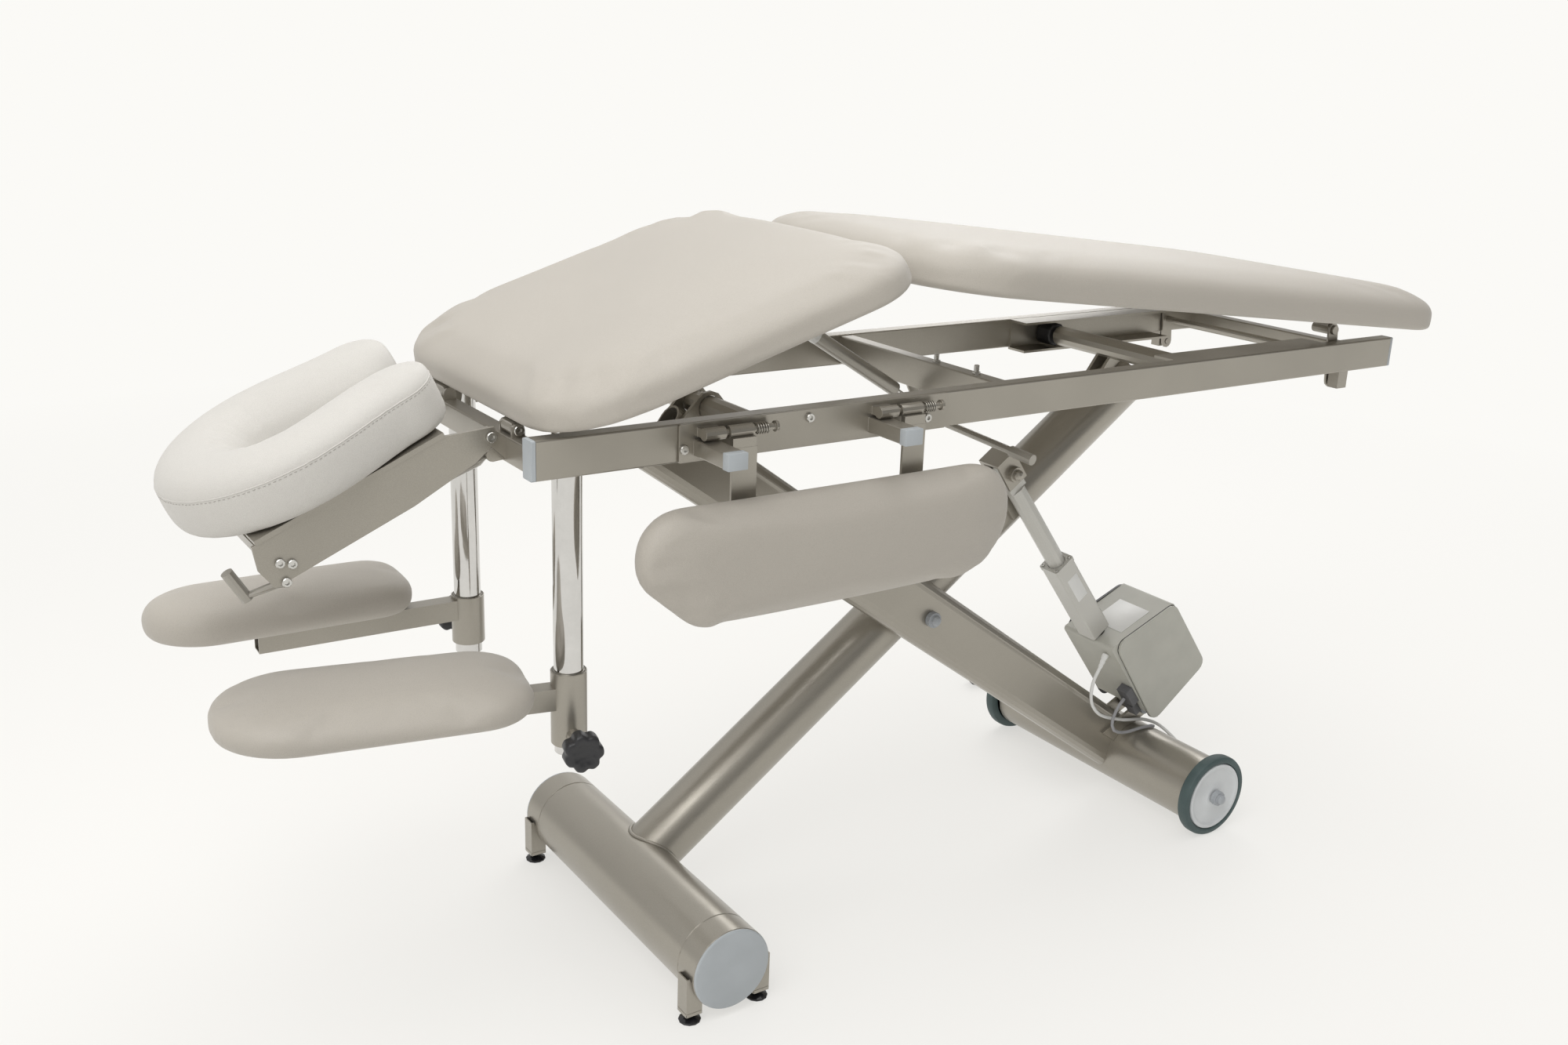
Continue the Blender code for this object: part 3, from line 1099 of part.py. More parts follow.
def chest_section(axis, spring_axis, rod_axis, lever_axis):
    bm = bmesh.new()
    bore = PIN_R + CLEARANCE
    for side in (-1, 1):
        low, high = CHEST_KNUCKLE
        profile = [(low, KNUCKLE_R - CLEARANCE), (high, KNUCKLE_R - CLEARANCE), (high, bore), (low, bore)]
        lathe(bm, "Y", [(side * y, r) for y, r in profile], ring=True)
        box(bm, (CHEST_STRAP[0], side * STRAP_Y - STRAP_HALF, CHEST_STRAP_Z[0]),
            (CHEST_STRAP[1], side * STRAP_Y + STRAP_HALF, CHEST_STRAP_Z[1]))
        low = side * CHEST_EYE_LUG_Y
        level = CHEST_BAR_Z[0] + WELD
        foot = [(CHEST_EYE[0] + KNUCKLE_R, level), (CHEST_EYE[0] - KNUCKLE_R, level)]
        tongue(bm, CHEST_EYE, KNUCKLE_R, pi, foot, low, low + side * CHEST_LUG_THICK)
    box(bm, (CHEST_BAR[0], -CHEST_BAR_Y, CHEST_BAR_Z[0]), (CHEST_BAR[1], CHEST_BAR_Y, CHEST_BAR_Z[1]))
    half = CHEST_EYE_LUG_Y + CHEST_LUG_THICK
    drilled = publish("chest_frame", bm, "frame_paint", axis)
    drill(drilled, "Y", PIN_R, -half - CLEARANCE, half + CLEARANCE, CHEST_EYE)

    bm = bmesh.new()
    cushion(bm, rounded(CHEST_PAD, CHEST_RADII, 5), CHEST_PAD_BOTTOM, CHEST_PAD_THICK, CHEST_CROWN)
    publish("chest_cushion", bm, "vinyl", axis)

    bm = bmesh.new()
    half = CHEST_EYE_LUG_Y - RUNNING
    spool_half = CHEST_EYE_LUG_Y + CHEST_LUG_THICK + CLEARANCE
    lathe(bm, "Y", [(-spool_half, PIN_R - CLEARANCE), (-half, PIN_R - CLEARANCE), (-half, KNUCKLE_R),
                    (half, KNUCKLE_R), (half, PIN_R - CLEARANCE), (spool_half, PIN_R - CLEARANCE)])
    neck = KNUCKLE_R - 2 * WELD
    lathe(bm, "X", [(neck, SPRING_NECK_R), (neck + SPRING_NECK, CHEST_GAS_R), (CHEST_GAS_END, CHEST_GAS_R),
                    (CHEST_GAS_END, GAS_BORE_R), (neck + 2 * SPRING_NECK, GAS_BORE_R)])
    publish("chest_spring", bm, "actuator_grey", spring_axis)
    bm = bmesh.new()
    lathe(bm, "X", [(CHEST_ROD_START, GAS_ROD_R), (CHEST_GAS_REST - PIN_R, GAS_ROD_R)],
          count=SMALL_ROUND)
    lathe(bm, "Y", [(-CHEST_EYE_R, CHEST_EYE_R), (CHEST_EYE_R, CHEST_EYE_R)], (CHEST_GAS_REST, 0))
    publish("chest_spring_rod", bm, "chrome", rod_axis)

    bm = bmesh.new()
    start = Vector(LEVER_FOOT) - lever_axis.location
    end = Vector(LEVER_END) - lever_axis.location
    middle = start.lerp(end, LEVER_GRIP_SHARE)
    along = (end - start).normalized()
    side = along.orthogonal().normalized()
    other = along.cross(side)
    ring = [2 * pi * k / SMALL_ROUND for k in range(SMALL_ROUND)]
    levels = ((start, LEVER_SEAT_R), (start + along * CHEST_LEVER_R, CHEST_LEVER_R), (middle, CHEST_LEVER_R))
    loft(bm, [[at + radius * (cos(t) * side + sin(t) * other) for t in ring] for at, radius in levels])
    rod_between(bm, middle - along * PIN_END, end, LEVER_GRIP_R)
    publish("chest_lever", bm, "frame_paint", lever_axis)


# Leg section, on two swinging links

LEG_PAD = ((-0.943, -0.29), (0.2015, -0.29), (0.2015, 0.29), (-0.943, 0.29))
LEG_RADII = (0.15, 0.09, 0.09, 0.15)
LEG_PAD_BOTTOM = 0.0176
LEG_PAD_THICK = 0.060
LEG_CROWN = 0.010
LEG_KNUCKLE = (0.150, 0.183)
WEB_Z = (0.0050, 0.0145)
LEG_STRAP_Y = 0.165
LEG_STRAP = (-0.80, 0.12)
LEG_STRAP_Z = (0.0133, 0.0173)
LINK_HALF = 0.012
LINK_BAR_R = 0.006
LEG_TIE = (-0.60, -0.56)
PIN_CAP_Y = 0.1898
PIN_CAP = 0.004


def leg_section(link_axis, tilt_axis):
    bm = bmesh.new()
    top = (LEG_HINGE[0] - LEG_LINK_FOOT[0], LEG_HINGE[1] - LEG_LINK_FOOT[1])
    lean = atan2(top[0], top[1])
    outline = []
    for k in range(EYE_STEPS + 1):
        angle = pi * k / EYE_STEPS - lean
        outline.append((top[0] + LINK_HALF * cos(angle), top[1] + LINK_HALF * sin(angle)))
    for k in range(EYE_STEPS + 1):
        angle = pi + pi * k / EYE_STEPS - lean
        outline.append((LINK_HALF * cos(angle), LINK_HALF * sin(angle)))
    for side in (-1, 1):
        prism(bm, "Y", outline, side * LINK_Y, side * (LINK_Y + LINK_THICK))
    middle = (top[0] / 2, top[1] / 2)
    reach = LINK_Y + 2 * WELD
    lathe(bm, "Y", [(-reach, LINK_BAR_R), (reach, LINK_BAR_R)], middle, SMALL_ROUND)
    links = publish("leg_link", bm, "frame_paint", link_axis)
    for at in ((0, 0), top):
        drill(links, "Y", PIN_R + CLEARANCE, -RAIL_SPAN / 2, RAIL_SPAN / 2, at)

    bm = bmesh.new()
    for side in (-1, 1):
        low, high = LEG_KNUCKLE
        cap = PIN_CAP_Y
        profile = [(low, KNUCKLE_R), (high, KNUCKLE_R), (high, PIN_R), (cap, PIN_R), (cap, PIN_HEAD_R),
                   (cap + PIN_CAP, PIN_HEAD_R)]
        lathe(bm, "Y", [(side * y, r) for y, r in profile], count=SMALL_ROUND)
        low = min(side * (LEG_KNUCKLE[0] + WELD), side * (LEG_KNUCKLE[1] - WELD))
        high = max(side * (LEG_KNUCKLE[0] + WELD), side * (LEG_KNUCKLE[1] - WELD))
        box(bm, (-KNUCKLE_R + WELD, low, WEB_Z[0]), (KNUCKLE_R - WELD, high, WEB_Z[1]))
        box(bm, (LEG_STRAP[0], side * LEG_STRAP_Y - STRAP_HALF, LEG_STRAP_Z[0]),
            (LEG_STRAP[1], side * LEG_STRAP_Y + STRAP_HALF, LEG_STRAP_Z[1]))
    box(bm, (LEG_TIE[0], -LEG_STRAP_Y, LEG_STRAP_Z[0] - WELD), (LEG_TIE[1], LEG_STRAP_Y, LEG_STRAP_Z[1] - WELD))
    publish("leg_frame", bm, "frame_paint", tilt_axis)
    bm = bmesh.new()
    cushion(bm, rounded(LEG_PAD, LEG_RADII, 6), LEG_PAD_BOTTOM, LEG_PAD_THICK, LEG_CROWN)
    publish("leg_cushion", bm, "vinyl", tilt_axis)


# Arm rests: liner, collar with bar, cushion and knob, in the post's frame

LINER = (POST_R + 0.0003, 0.0205)
COLLAR = (0.0208, 0.0232)
BOSS_R = 0.010
BOSS_END = 0.045
KNOB_START = 0.0575
KNOB_END = 0.0795
KNOB_R = 0.0225
KNOB_WAVE = 0.0015
KNOB_LOBES = 7
KNOB_STEM_R = 0.0075
BAR_WIDTH = 0.025
BAR_HEIGHT = 0.030
BAR_WALL = 0.002
ARM_REST = {
    -1: {"collar": (0.423, 0.524), "bar": 0.4735, "bar_end": 0.300, "knob": 0.4405, "swing": -11.7,
         "pad": (-0.428, -0.064, 0.104, 0.098, -0.025), "radii": (0.088, 0.064), "thick": 0.042, "bow": 0.010},
    1: {"collar": (0.446, 0.518), "bar": 0.4835, "bar_end": 0.300, "knob": 0.4635, "swing": -2.0,
        "pad": (-0.4335, -0.085, 0.0795, 0.077, 0.030), "radii": (0.078, 0.050), "thick": 0.051, "bow": 0.007},
}
ARM_CROWN = 0.006


def arm_rest(side, tag, axis, knob_axis):
    rest = ARM_REST[side]
    low, high = rest["collar"]
    bm = bmesh.new()
    pipe(bm, "Z", circle(LINER[1], BIG_ROUND), circle(LINER[0], BIG_ROUND), low, high)
    publish("arm_liner_" + tag, bm, "cap_plastic", axis)

    bm = bmesh.new()
    pipe(bm, "Z", circle(COLLAR[1], BIG_ROUND), circle(COLLAR[0], BIG_ROUND), low, high)
    height = rest["bar"] + BAR_HEIGHT / 2
    outer = split_rect(BAR_WIDTH, BAR_HEIGHT, 0, height)
    inner = split_rect(BAR_WIDTH - 2 * BAR_WALL, BAR_HEIGHT - 2 * BAR_WALL, 0, height)
    reach = COLLAR[1] - WELD
    start = [(-sqrt(reach ** 2 - y ** 2), y, z) for y, z in outer]
    start_in = [(-sqrt(reach ** 2 - y ** 2), y, z) for y, z in inner]
    loft(bm, [start, place("X", outer, -rest["bar_end"]), place("X", inner, -rest["bar_end"]), start_in], ring=True)
    boss = (0, rest["knob"])
    lathe(bm, "Y", [(side * reach, BOSS_R), (side * BOSS_END, BOSS_R)], boss)
    publish("arm_bracket_" + tag, bm, "frame_paint", axis)

    bm = bmesh.new()
    start, end, wide, narrow, shift = rest["pad"]
    corner_out, corner_in = rest["radii"]
    corners = [(start, shift - wide), (end, shift - narrow), (end, shift + narrow), (start, shift + wide)]
    outline = bowed(rounded(corners, [corner_out, corner_in, corner_in, corner_out], 6), rest["bow"])
    bottom = rest["bar"] + BAR_HEIGHT + CLEARANCE
    cushion(bm, outline, bottom, rest["thick"], ARM_CROWN)
    publish("arm_cushion_" + tag, bm, "vinyl", axis)

    bm = bmesh.new()
    outline = []
    count = KNOB_LOBES * 4
    for k in range(count):
        angle = 2 * pi * k / count
        radius = KNOB_R + KNOB_WAVE * cos(KNOB_LOBES * angle)
        outline.append((radius * cos(angle), radius * sin(angle)))
    prism(bm, "Y", outline, side * KNOB_START, side * KNOB_END)
    stem = KNOB_START + WELD
    lathe(bm, "Y", [(side * stem, KNOB_STEM_R), (side * (BOSS_END + CLEARANCE), KNOB_STEM_R)], count=SMALL_ROUND)
    publish("knob_" + tag, bm, "black_plastic", knob_axis)


# Side wing, hanging from its hinge on the near rail

HANGER_X = (0.251, 0.288)
HANGER_Y = (-0.2487, -0.2443)
HANGER_Z = (0.620, 0.8130)
TIE_Z = (0.640, 0.670)
WEB_Y = (-0.2484, -0.2400)
WEB_WING_Z = (0.8110, 0.8255)
SPACER_Y = (-0.2565, -0.2477)
SPACER_Z = (0.625, 0.700)
WING_PAD = ((0.1835, 0.590), (0.688, 0.590), (0.688, 0.757), (0.099, 0.757), (0.099, 0.6644))
WING_RADII = (0.055, 0.096, 0.062, 0.060, 0.055)
WING_PAD_BACK = 0.2568
WING_THICK = 0.048
WING_CROWN = 0.006


def wing(axis):
    bm = bmesh.new()
    for k in range(2):
        shift = k * WING_PITCH
        low = MOVING_KNUCKLE[0] + shift
        high = MOVING_KNUCKLE[1] + shift
        bore = WING_PIN_R + CLEARANCE
        profile = [(low, KNUCKLE_R), (high, KNUCKLE_R), (high, bore), (low, bore)]
        lathe(bm, "X", profile, (WING_PIN_Y, WING_PIN_Z), ROUND, True)
        box(bm, (low + RUNNING, WEB_Y[0], WEB_WING_Z[0]), (high - RUNNING, WEB_Y[1], WEB_WING_Z[1]))
        low = HANGER_X[0] + shift
        high = HANGER_X[1] + shift
        box(bm, (low, HANGER_Y[0], HANGER_Z[0]), (high, HANGER_Y[1], HANGER_Z[1]))
        box(bm, (low + WELD, SPACER_Y[0], SPACER_Z[0]), (high - WELD, SPACER_Y[1], SPACER_Z[1]))
    box(bm, (HANGER_X[1] - WELD, HANGER_Y[0] + RUNNING, TIE_Z[0]),
        (HANGER_X[0] + WING_PITCH + WELD, HANGER_Y[1] - RUNNING, TIE_Z[1]))
    publish("wing_frame", bm, "frame_paint", axis, in_table=True)
    bm = bmesh.new()
    outline = rounded(WING_PAD, WING_RADII, 6)
    cushion(bm, outline, WING_PAD_BACK, WING_THICK, WING_CROWN, lambda u, v, w: (u, -w, v))
    publish("wing_cushion", bm, "vinyl", axis, in_table=True)


# Cords

LEAD_R = 0.003
MOTOR_LEAD = ((1.1925, -0.084, 0.2017), (1.182, -0.0848, 0.193), (1.173, -0.0855, 0.182), (1.1665, -0.086, 0.169),
              (1.1655, -0.0865, 0.157), (1.171, -0.087, 0.146), (1.182, -0.0875, 0.1395), (1.196, -0.088, 0.1360),
              (1.211, -0.0885, 0.1350), (1.226, -0.089, 0.1357), (1.241, -0.090, 0.1363), (1.254, -0.0905, 0.1358),
              (1.264, -0.0905, 0.1348), (1.271, -0.0905, 0.1322))
MAINS_LEAD = ((1.138, -0.0757, 0.2848), (1.127, -0.0773, 0.2674), (1.117, -0.0789, 0.2537),
              (1.112, -0.0799, 0.2381), (1.112, -0.0799, 0.2216), (1.117, -0.0791, 0.206),
              (1.127, -0.0779, 0.1924), (1.139, -0.0764, 0.1813), (1.153, -0.0746, 0.1725),
              (1.168, -0.0728, 0.1656), (1.183, -0.0712, 0.1597), (1.199, -0.07, 0.1542),
              (1.214, -0.0691, 0.1492), (1.23, -0.0681, 0.1453), (1.247, -0.0675, 0.1423),
              (1.263, -0.0686, 0.139), (1.278, -0.0728, 0.1345), (1.291, -0.081, 0.1283),
              (1.299, -0.0928, 0.1203), (1.305, -0.1054, 0.1109), (1.311, -0.117, 0.1),
              (1.315, -0.1279, 0.0881), (1.317, -0.1385, 0.0755), (1.318, -0.1484, 0.0623),
              (1.3185, -0.1572, 0.0483), (1.319, -0.1647, 0.0336), (1.320, -0.1709, 0.0184),
              (1.329, -0.1708, 0.0065), (1.343, -0.163, 0.0034), (1.354, -0.1508, 0.0034),
              (1.364, -0.1373, 0.0037), (1.373, -0.1237, 0.0043), (1.383, -0.11, 0.0042),
              (1.391, -0.0961, 0.0036), (1.399, -0.0816, 0.0034), (1.407, -0.0668, 0.0034),
              (1.413, -0.0516, 0.0034), (1.419, -0.0361, 0.0034), (1.425, -0.0205, 0.0034),
              (1.43, -0.0048, 0.0035), (1.435, 0.0109, 0.0035), (1.44, 0.0268, 0.0035),
              (1.444, 0.0428, 0.0035), (1.448, 0.0589, 0.0034), (1.451, 0.0751, 0.0034),
              (1.454, 0.0914, 0.0034), (1.456, 0.1078, 0.0034), (1.459, 0.1242, 0.0034),
              (1.46, 0.1406, 0.0034), (1.462, 0.1571, 0.0034), (1.463, 0.1736, 0.0034),
              (1.463, 0.1902, 0.0034), (1.464, 0.2067, 0.0034), (1.464, 0.2233, 0.0034),
              (1.464, 0.2398, 0.0034), (1.463, 0.2564, 0.0034), (1.463, 0.2729, 0.0034),
              (1.462, 0.2894, 0.0034), (1.462, 0.306, 0.0034), (1.461, 0.3225, 0.0034),
              (1.461, 0.339, 0.0042), (1.4614, 0.36, 0.0055), (1.4614, 0.38, 0.0068),
              (1.4614, 0.4, 0.0071), (1.4614, 0.415, 0.0071), (1.459, 0.430, 0.0072),
              (1.452, 0.4445, 0.0075), (1.442, 0.4555, 0.0080), (1.4290, 0.462, 0.0090),
              (1.4135, 0.4635, 0.0105), (1.3985, 0.4615, 0.0125), (1.3845, 0.4570, 0.0150),
              (1.3705, 0.4500, 0.0182), (1.3580, 0.4455, 0.0193), (1.3454, 0.445, 0.0193))
COIL_CENTRE = (1.41, 0.40)
COIL_R = 0.036
COIL_SPREAD = 0.012
COIL_HEIGHT = 0.0135
COIL_SECTION = 8
PLUG_PLACE = (1.345, 0.445)
PLUG_R = 0.019
PLUG_BODY = 0.038
PLUG_PIN_R = 0.0024
PLUG_PIN = 0.019
PLUG_PIN_Y = 0.0095


def cords(arm_axis, actuator_axis):
    cord("motor_lead", MOTOR_LEAD, LEAD_R, "cord_grey", actuator_axis)
    cord("mains_lead", MAINS_LEAD, LEAD_R, "cord_white", arm_axis)


def free_end(axis):
    bm = bmesh.new()
    loops = []
    for k in range(BIG_ROUND):
        angle = 2 * pi * k / BIG_ROUND
        ring = [2 * pi * j / COIL_SECTION for j in range(COIL_SECTION)]
        loops.append([((COIL_R + COIL_SPREAD * cos(t)) * cos(angle), (COIL_R + COIL_SPREAD * cos(t)) * sin(angle),
                       COIL_HEIGHT / 2 + CLEARANCE + COIL_HEIGHT / 2 * sin(t)) for t in ring])
    rows = [[(x + COIL_CENTRE[0], y + COIL_CENTRE[1], z) for x, y, z in loop] for loop in loops]
    loft(bm, rows, ring=True)
    publish("lead_coil", bm, "cord_white", axis, in_table=True)
    bm = bmesh.new()
    x, y = PLUG_PLACE
    height = PLUG_R + CLEARANCE
    lathe(bm, "X", [(x, PLUG_R * 0.5), (x - PLUG_BODY / 2, PLUG_R), (x - PLUG_BODY, PLUG_R)], (y, height))
    for side in (-1, 1):
        start = x - PLUG_BODY + WELD
        centre = (y + side * PLUG_PIN_Y, height)
        lathe(bm, "X", [(start, PLUG_PIN_R), (start - PLUG_PIN, PLUG_PIN_R)], centre, SMALL_ROUND)
    publish("mains_plug", bm, "black_plastic", axis, in_table=True)


# Driving code

def build():
    for thing in list(bpy.data.objects):
        bpy.data.objects.remove(thing, do_unlink=True)
    material("frame_paint", (0.52, 0.50, 0.46), 0.38, 0.55)
    material("vinyl", (0.62, 0.58, 0.52), 0.5)
    material("vinyl_light", (0.72, 0.70, 0.66), 0.5)
    material("chrome", (0.75, 0.76, 0.78), 0.12, 1.0)
    material("steel", (0.55, 0.56, 0.58), 0.3, 1.0)
    material("cap_plastic", (0.60, 0.65, 0.70), 0.45)
    material("black_plastic", (0.03, 0.03, 0.035), 0.5)
    material("black_gloss", (0.02, 0.02, 0.022), 0.2)
    material("actuator_grey", (0.62, 0.63, 0.62), 0.4)
    material("housing_green_grey", (0.50, 0.53, 0.50), 0.45)
    material("housing_beige", (0.58, 0.60, 0.57), 0.45)
    material("plug_grey", (0.30, 0.31, 0.33), 0.5)
    material("tyre_rubber", (0.14, 0.18, 0.19), 0.7)
    material("hub_plastic", (0.68, 0.69, 0.69), 0.45)
    material("cord_grey", (0.35, 0.36, 0.37), 0.5)
    material("cord_white", (0.80, 0.80, 0.78), 0.45)

    origin = bpy.data.objects.new("origin", None)
    bpy.context.collection.objects.link(origin)
    origin.location = (RAIL_HEAD_X, ORIGIN_Y, 0)
    base_axis = pivot("base_axis", FOOT_X, AXLE_HEIGHT)
    feet_axes = {}
    for side in (-1, 1):
        for way in (-1, 1):
            name = f"foot_axis_{side + 1}{way + 1}"
            feet_axes[side, way] = pivot(name, FOOT_X + way * LEG_OFFSET_X, 0, side * LEG_Y)
    inner_axis = pivot("inner_arm_axis", FOOT_X, AXLE_HEIGHT, tilt=-ARM_ANGLE)
    roller_axis = pivot("roller_axis", ROLLER_X, PIVOT_HEIGHT)
    outer_axis = pivot("outer_arm_axis", MIDDLE_X, SCISSOR_HEIGHT, tilt=ARM_ANGLE)
    wheel_axis = pivot("wheel_axis", WHEEL_X, AXLE_HEIGHT)
    actuator_axis = pivot("actuator_axis", *ACTUATOR_FOOT, tilt=-ACTUATOR_ANGLE)
    frame_axis = pivot("frame_axis", HEAD_PIVOT_X, PIVOT_HEIGHT)
    base(base_axis, feet_axes)
    inner_arm(inner_axis, roller_axis)
    outer_arm(outer_axis, wheel_axis)
    actuator(actuator_axis, outer_axis)
    top_frame(frame_axis)

    head_axis = pivot("head_axis", *HEAD_HINGE, tilt=-HEAD_TILT)
    head_spring = pivot("head_spring_axis", *SPRING_PIN, y=-SPRING_LUG_Y, tilt=-HEAD_GAS_ANGLE)
    lever_x = HEAD_HINGE[0] + LEVER_PIVOT[0] * cos(HEAD_TILT) - LEVER_PIVOT[2] * sin(HEAD_TILT)
    lever_z = HEAD_HINGE[1] + LEVER_PIVOT[0] * sin(HEAD_TILT) + LEVER_PIVOT[2] * cos(HEAD_TILT)
    lever_axis = pivot("head_lever_axis", lever_x, lever_z, LEVER_PIVOT[1], tilt=-HEAD_TILT)
    head_section(head_axis, head_spring, head_spring, lever_axis)

    chest_axis = pivot("chest_axis", *CHEST_HINGE, tilt=-CHEST_TILT)
    chest_spring = pivot("chest_spring_axis", *CHEST_OUT, tilt=-CHEST_GAS_ANGLE)
    chest_lever = pivot("chest_lever_axis", LEVER_FOOT[0], LEVER_FOOT[2], LEVER_FOOT[1])
    chest_section(chest_axis, chest_spring, chest_spring, chest_lever)

    link_axis = pivot("leg_link_axis", *LEG_LINK_FOOT)
    tilt_axis = pivot("leg_axis", *LEG_HINGE, tilt=LEG_TILT)
    leg_section(link_axis, tilt_axis)
    for side, tag in ((-1, "near"), (1, "far")):
        swing = radians(ARM_REST[side]["swing"])
        axis = pivot("arm_axis_" + tag, POST_X, 0, side * POST_Y, swing=swing)
        knob_axis = pivot("knob_axis_" + tag, POST_X, ARM_REST[side]["knob"], side * POST_Y, swing=swing)
        arm_rest(side, tag, axis, knob_axis)
    wing(pivot("wing_axis", PLATE_START, WING_PIN_Z, WING_PIN_Y))
    cords(outer_axis, actuator_axis)
    free_end(pivot("coil_axis", MIDDLE_X, SCISSOR_HEIGHT))


build()
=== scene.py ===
import bpy
import bmesh
from math import acos, atan2, cos, hypot, pi, radians, sin, sqrt
from mathutils import Matrix, Vector
from mathutils.bvhtree import BVHTree
import json


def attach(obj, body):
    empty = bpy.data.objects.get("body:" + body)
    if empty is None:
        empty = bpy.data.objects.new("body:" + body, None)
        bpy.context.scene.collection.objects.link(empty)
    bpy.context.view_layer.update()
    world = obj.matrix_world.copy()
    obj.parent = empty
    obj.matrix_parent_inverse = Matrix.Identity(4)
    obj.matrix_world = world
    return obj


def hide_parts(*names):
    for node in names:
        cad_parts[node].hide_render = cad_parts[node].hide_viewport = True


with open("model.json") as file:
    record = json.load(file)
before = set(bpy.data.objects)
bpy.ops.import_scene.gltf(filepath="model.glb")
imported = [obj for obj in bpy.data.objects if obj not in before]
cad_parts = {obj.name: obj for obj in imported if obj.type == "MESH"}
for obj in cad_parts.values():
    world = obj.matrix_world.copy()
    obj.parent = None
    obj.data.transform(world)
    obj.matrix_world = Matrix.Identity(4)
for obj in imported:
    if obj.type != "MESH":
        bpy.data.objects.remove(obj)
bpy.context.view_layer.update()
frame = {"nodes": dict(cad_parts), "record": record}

# Places are given from the head end of the rails, as on the drawing, and shifted to the middle of the table
SHIFT = Matrix.Translation((-0.6586, 0.0041, 0))
FOOT_X, WHEEL_X, AXLE_Z = 0.2575, 1.2505, 0.073
MIDDLE = (0.754, 0.427)
ARM_ANGLE = atan2(MIDDLE[1] - AXLE_Z, MIDDLE[0] - FOOT_X)
HEAD_FRAME = SHIFT @ Matrix.Translation((-0.018, 0, 0.8305)) @ Matrix.Rotation(-radians(24), 4, "Y")
CHEST_FRAME = SHIFT @ Matrix.Translation((0.0165, 0, 0.8358)) @ Matrix.Rotation(-radians(17.5), 4, "Y")
LEG_FRAME = SHIFT @ Matrix.Translation((1.490, 0, 0.862)) @ Matrix.Rotation(radians(6.8), 4, "Y")
POST_X, POST_Y, POST_R = 0.0634, 0.1666, 0.019
ARM_SWING = {-1: radians(-11.7), 1: radians(-2.0)}
SIDES = ((-1, "near"), (1, "far"))


def linked(name, data):
    """A new object in the scene."""
    thing = bpy.data.objects.new(name, data)
    bpy.context.scene.collection.objects.link(thing)
    return thing


# Camera

def add_camera():
    yaw, pitch, roll = 0.5973, 0.3079, 0.0366
    place = Vector((-1.3852, -1.8019, 1.3038))
    ahead = Vector((sin(yaw) * cos(pitch), cos(yaw) * cos(pitch), -sin(pitch)))
    level = Vector((cos(yaw), -sin(yaw), 0))
    upright = level.cross(ahead)
    across = cos(roll) * level + sin(roll) * upright
    up = -sin(roll) * level + cos(roll) * upright
    data = bpy.data.cameras.new("camera")
    data.sensor_width = 36
    data.lens = 34.99
    data.clip_end = 60
    camera = linked("camera", data)
    turn = Matrix((across, up, -ahead)).transposed()
    camera.matrix_world = Matrix.LocRotScale(place, turn.to_quaternion(), None)
    bpy.context.scene.camera = camera


# Shader maths

class Sock:
    """A socket of a material, with arithmetic."""

    def __init__(self, look, socket):
        self.look = look
        self.socket = socket

    def math(self, operation, *others):
        return self.look.node("Math", {"operation": operation}, self, *others)

    def __add__(self, other):
        return self.math("ADD", other)

    def __mul__(self, other):
        return self.math("MULTIPLY", other)


class Look:
    """A material under construction."""

    def __init__(self, name):
        self.made = bpy.data.materials.new(name)
        self.made.use_nodes = True
        self.tree = self.made.node_tree
        self.shader = self.tree.nodes["Principled BSDF"]

    def join(self, value, socket):
        if isinstance(value, Sock):
            self.tree.links.new(value.socket, socket)
        elif value is not None:
            socket.default_value = value

    def node(self, kind, settings, *inputs, out=0, **named):
        made = self.tree.nodes.new("ShaderNode" + kind)
        for key, value in settings.items():
            setattr(made, key, value)
        for socket, value in zip(made.inputs, inputs):
            self.join(value, socket)
        for key, value in named.items():
            self.join(value, made.inputs[key.replace("_", " ")])
        return Sock(self, made.outputs[out])

    def noise(self, vector, scale, detail=2.0, roughness=0.5):
        return self.node("TexNoise", {}, vector, Scale=scale, Detail=detail, Roughness=roughness)

    def coords(self):
        return self.node("TexCoord", {}, out=3)

    def ramp(self, value, low, high, bottom=0.0, top=1.0):
        return self.node("MapRange", {}, value, low, high, bottom, top)

    def mix(self, share, first, second):
        made = self.tree.nodes.new("ShaderNodeMix")
        made.data_type = "RGBA"
        for index, value in ((0, share), (6, first), (7, second)):
            if isinstance(value, tuple):
                value = (*value, 1)
            self.join(value, made.inputs[index])
        return Sock(self, made.outputs[2])

    def bump(self, height, distance, strength=1.0, normal=None):
        return self.node("Bump", {}, Strength=strength, Distance=distance, Height=height, Normal=normal)

    def finish(self, colour, roughness, metallic=0.0, normal=None, **fixed):
        if isinstance(colour, tuple):
            colour = (*colour, 1)
        varying = {"Base Color": colour, "Roughness": roughness, "Metallic": metallic, "Normal": normal}
        for key, value in varying.items():
            self.join(value, self.shader.inputs[key])
        for key, value in fixed.items():
            self.shader.inputs[key.replace("_", " ")].default_value = value
        return self.made


def tint(colour, share):
    """A colour, made darker or paler."""
    return tuple(min(part * share, 1) for part in colour)


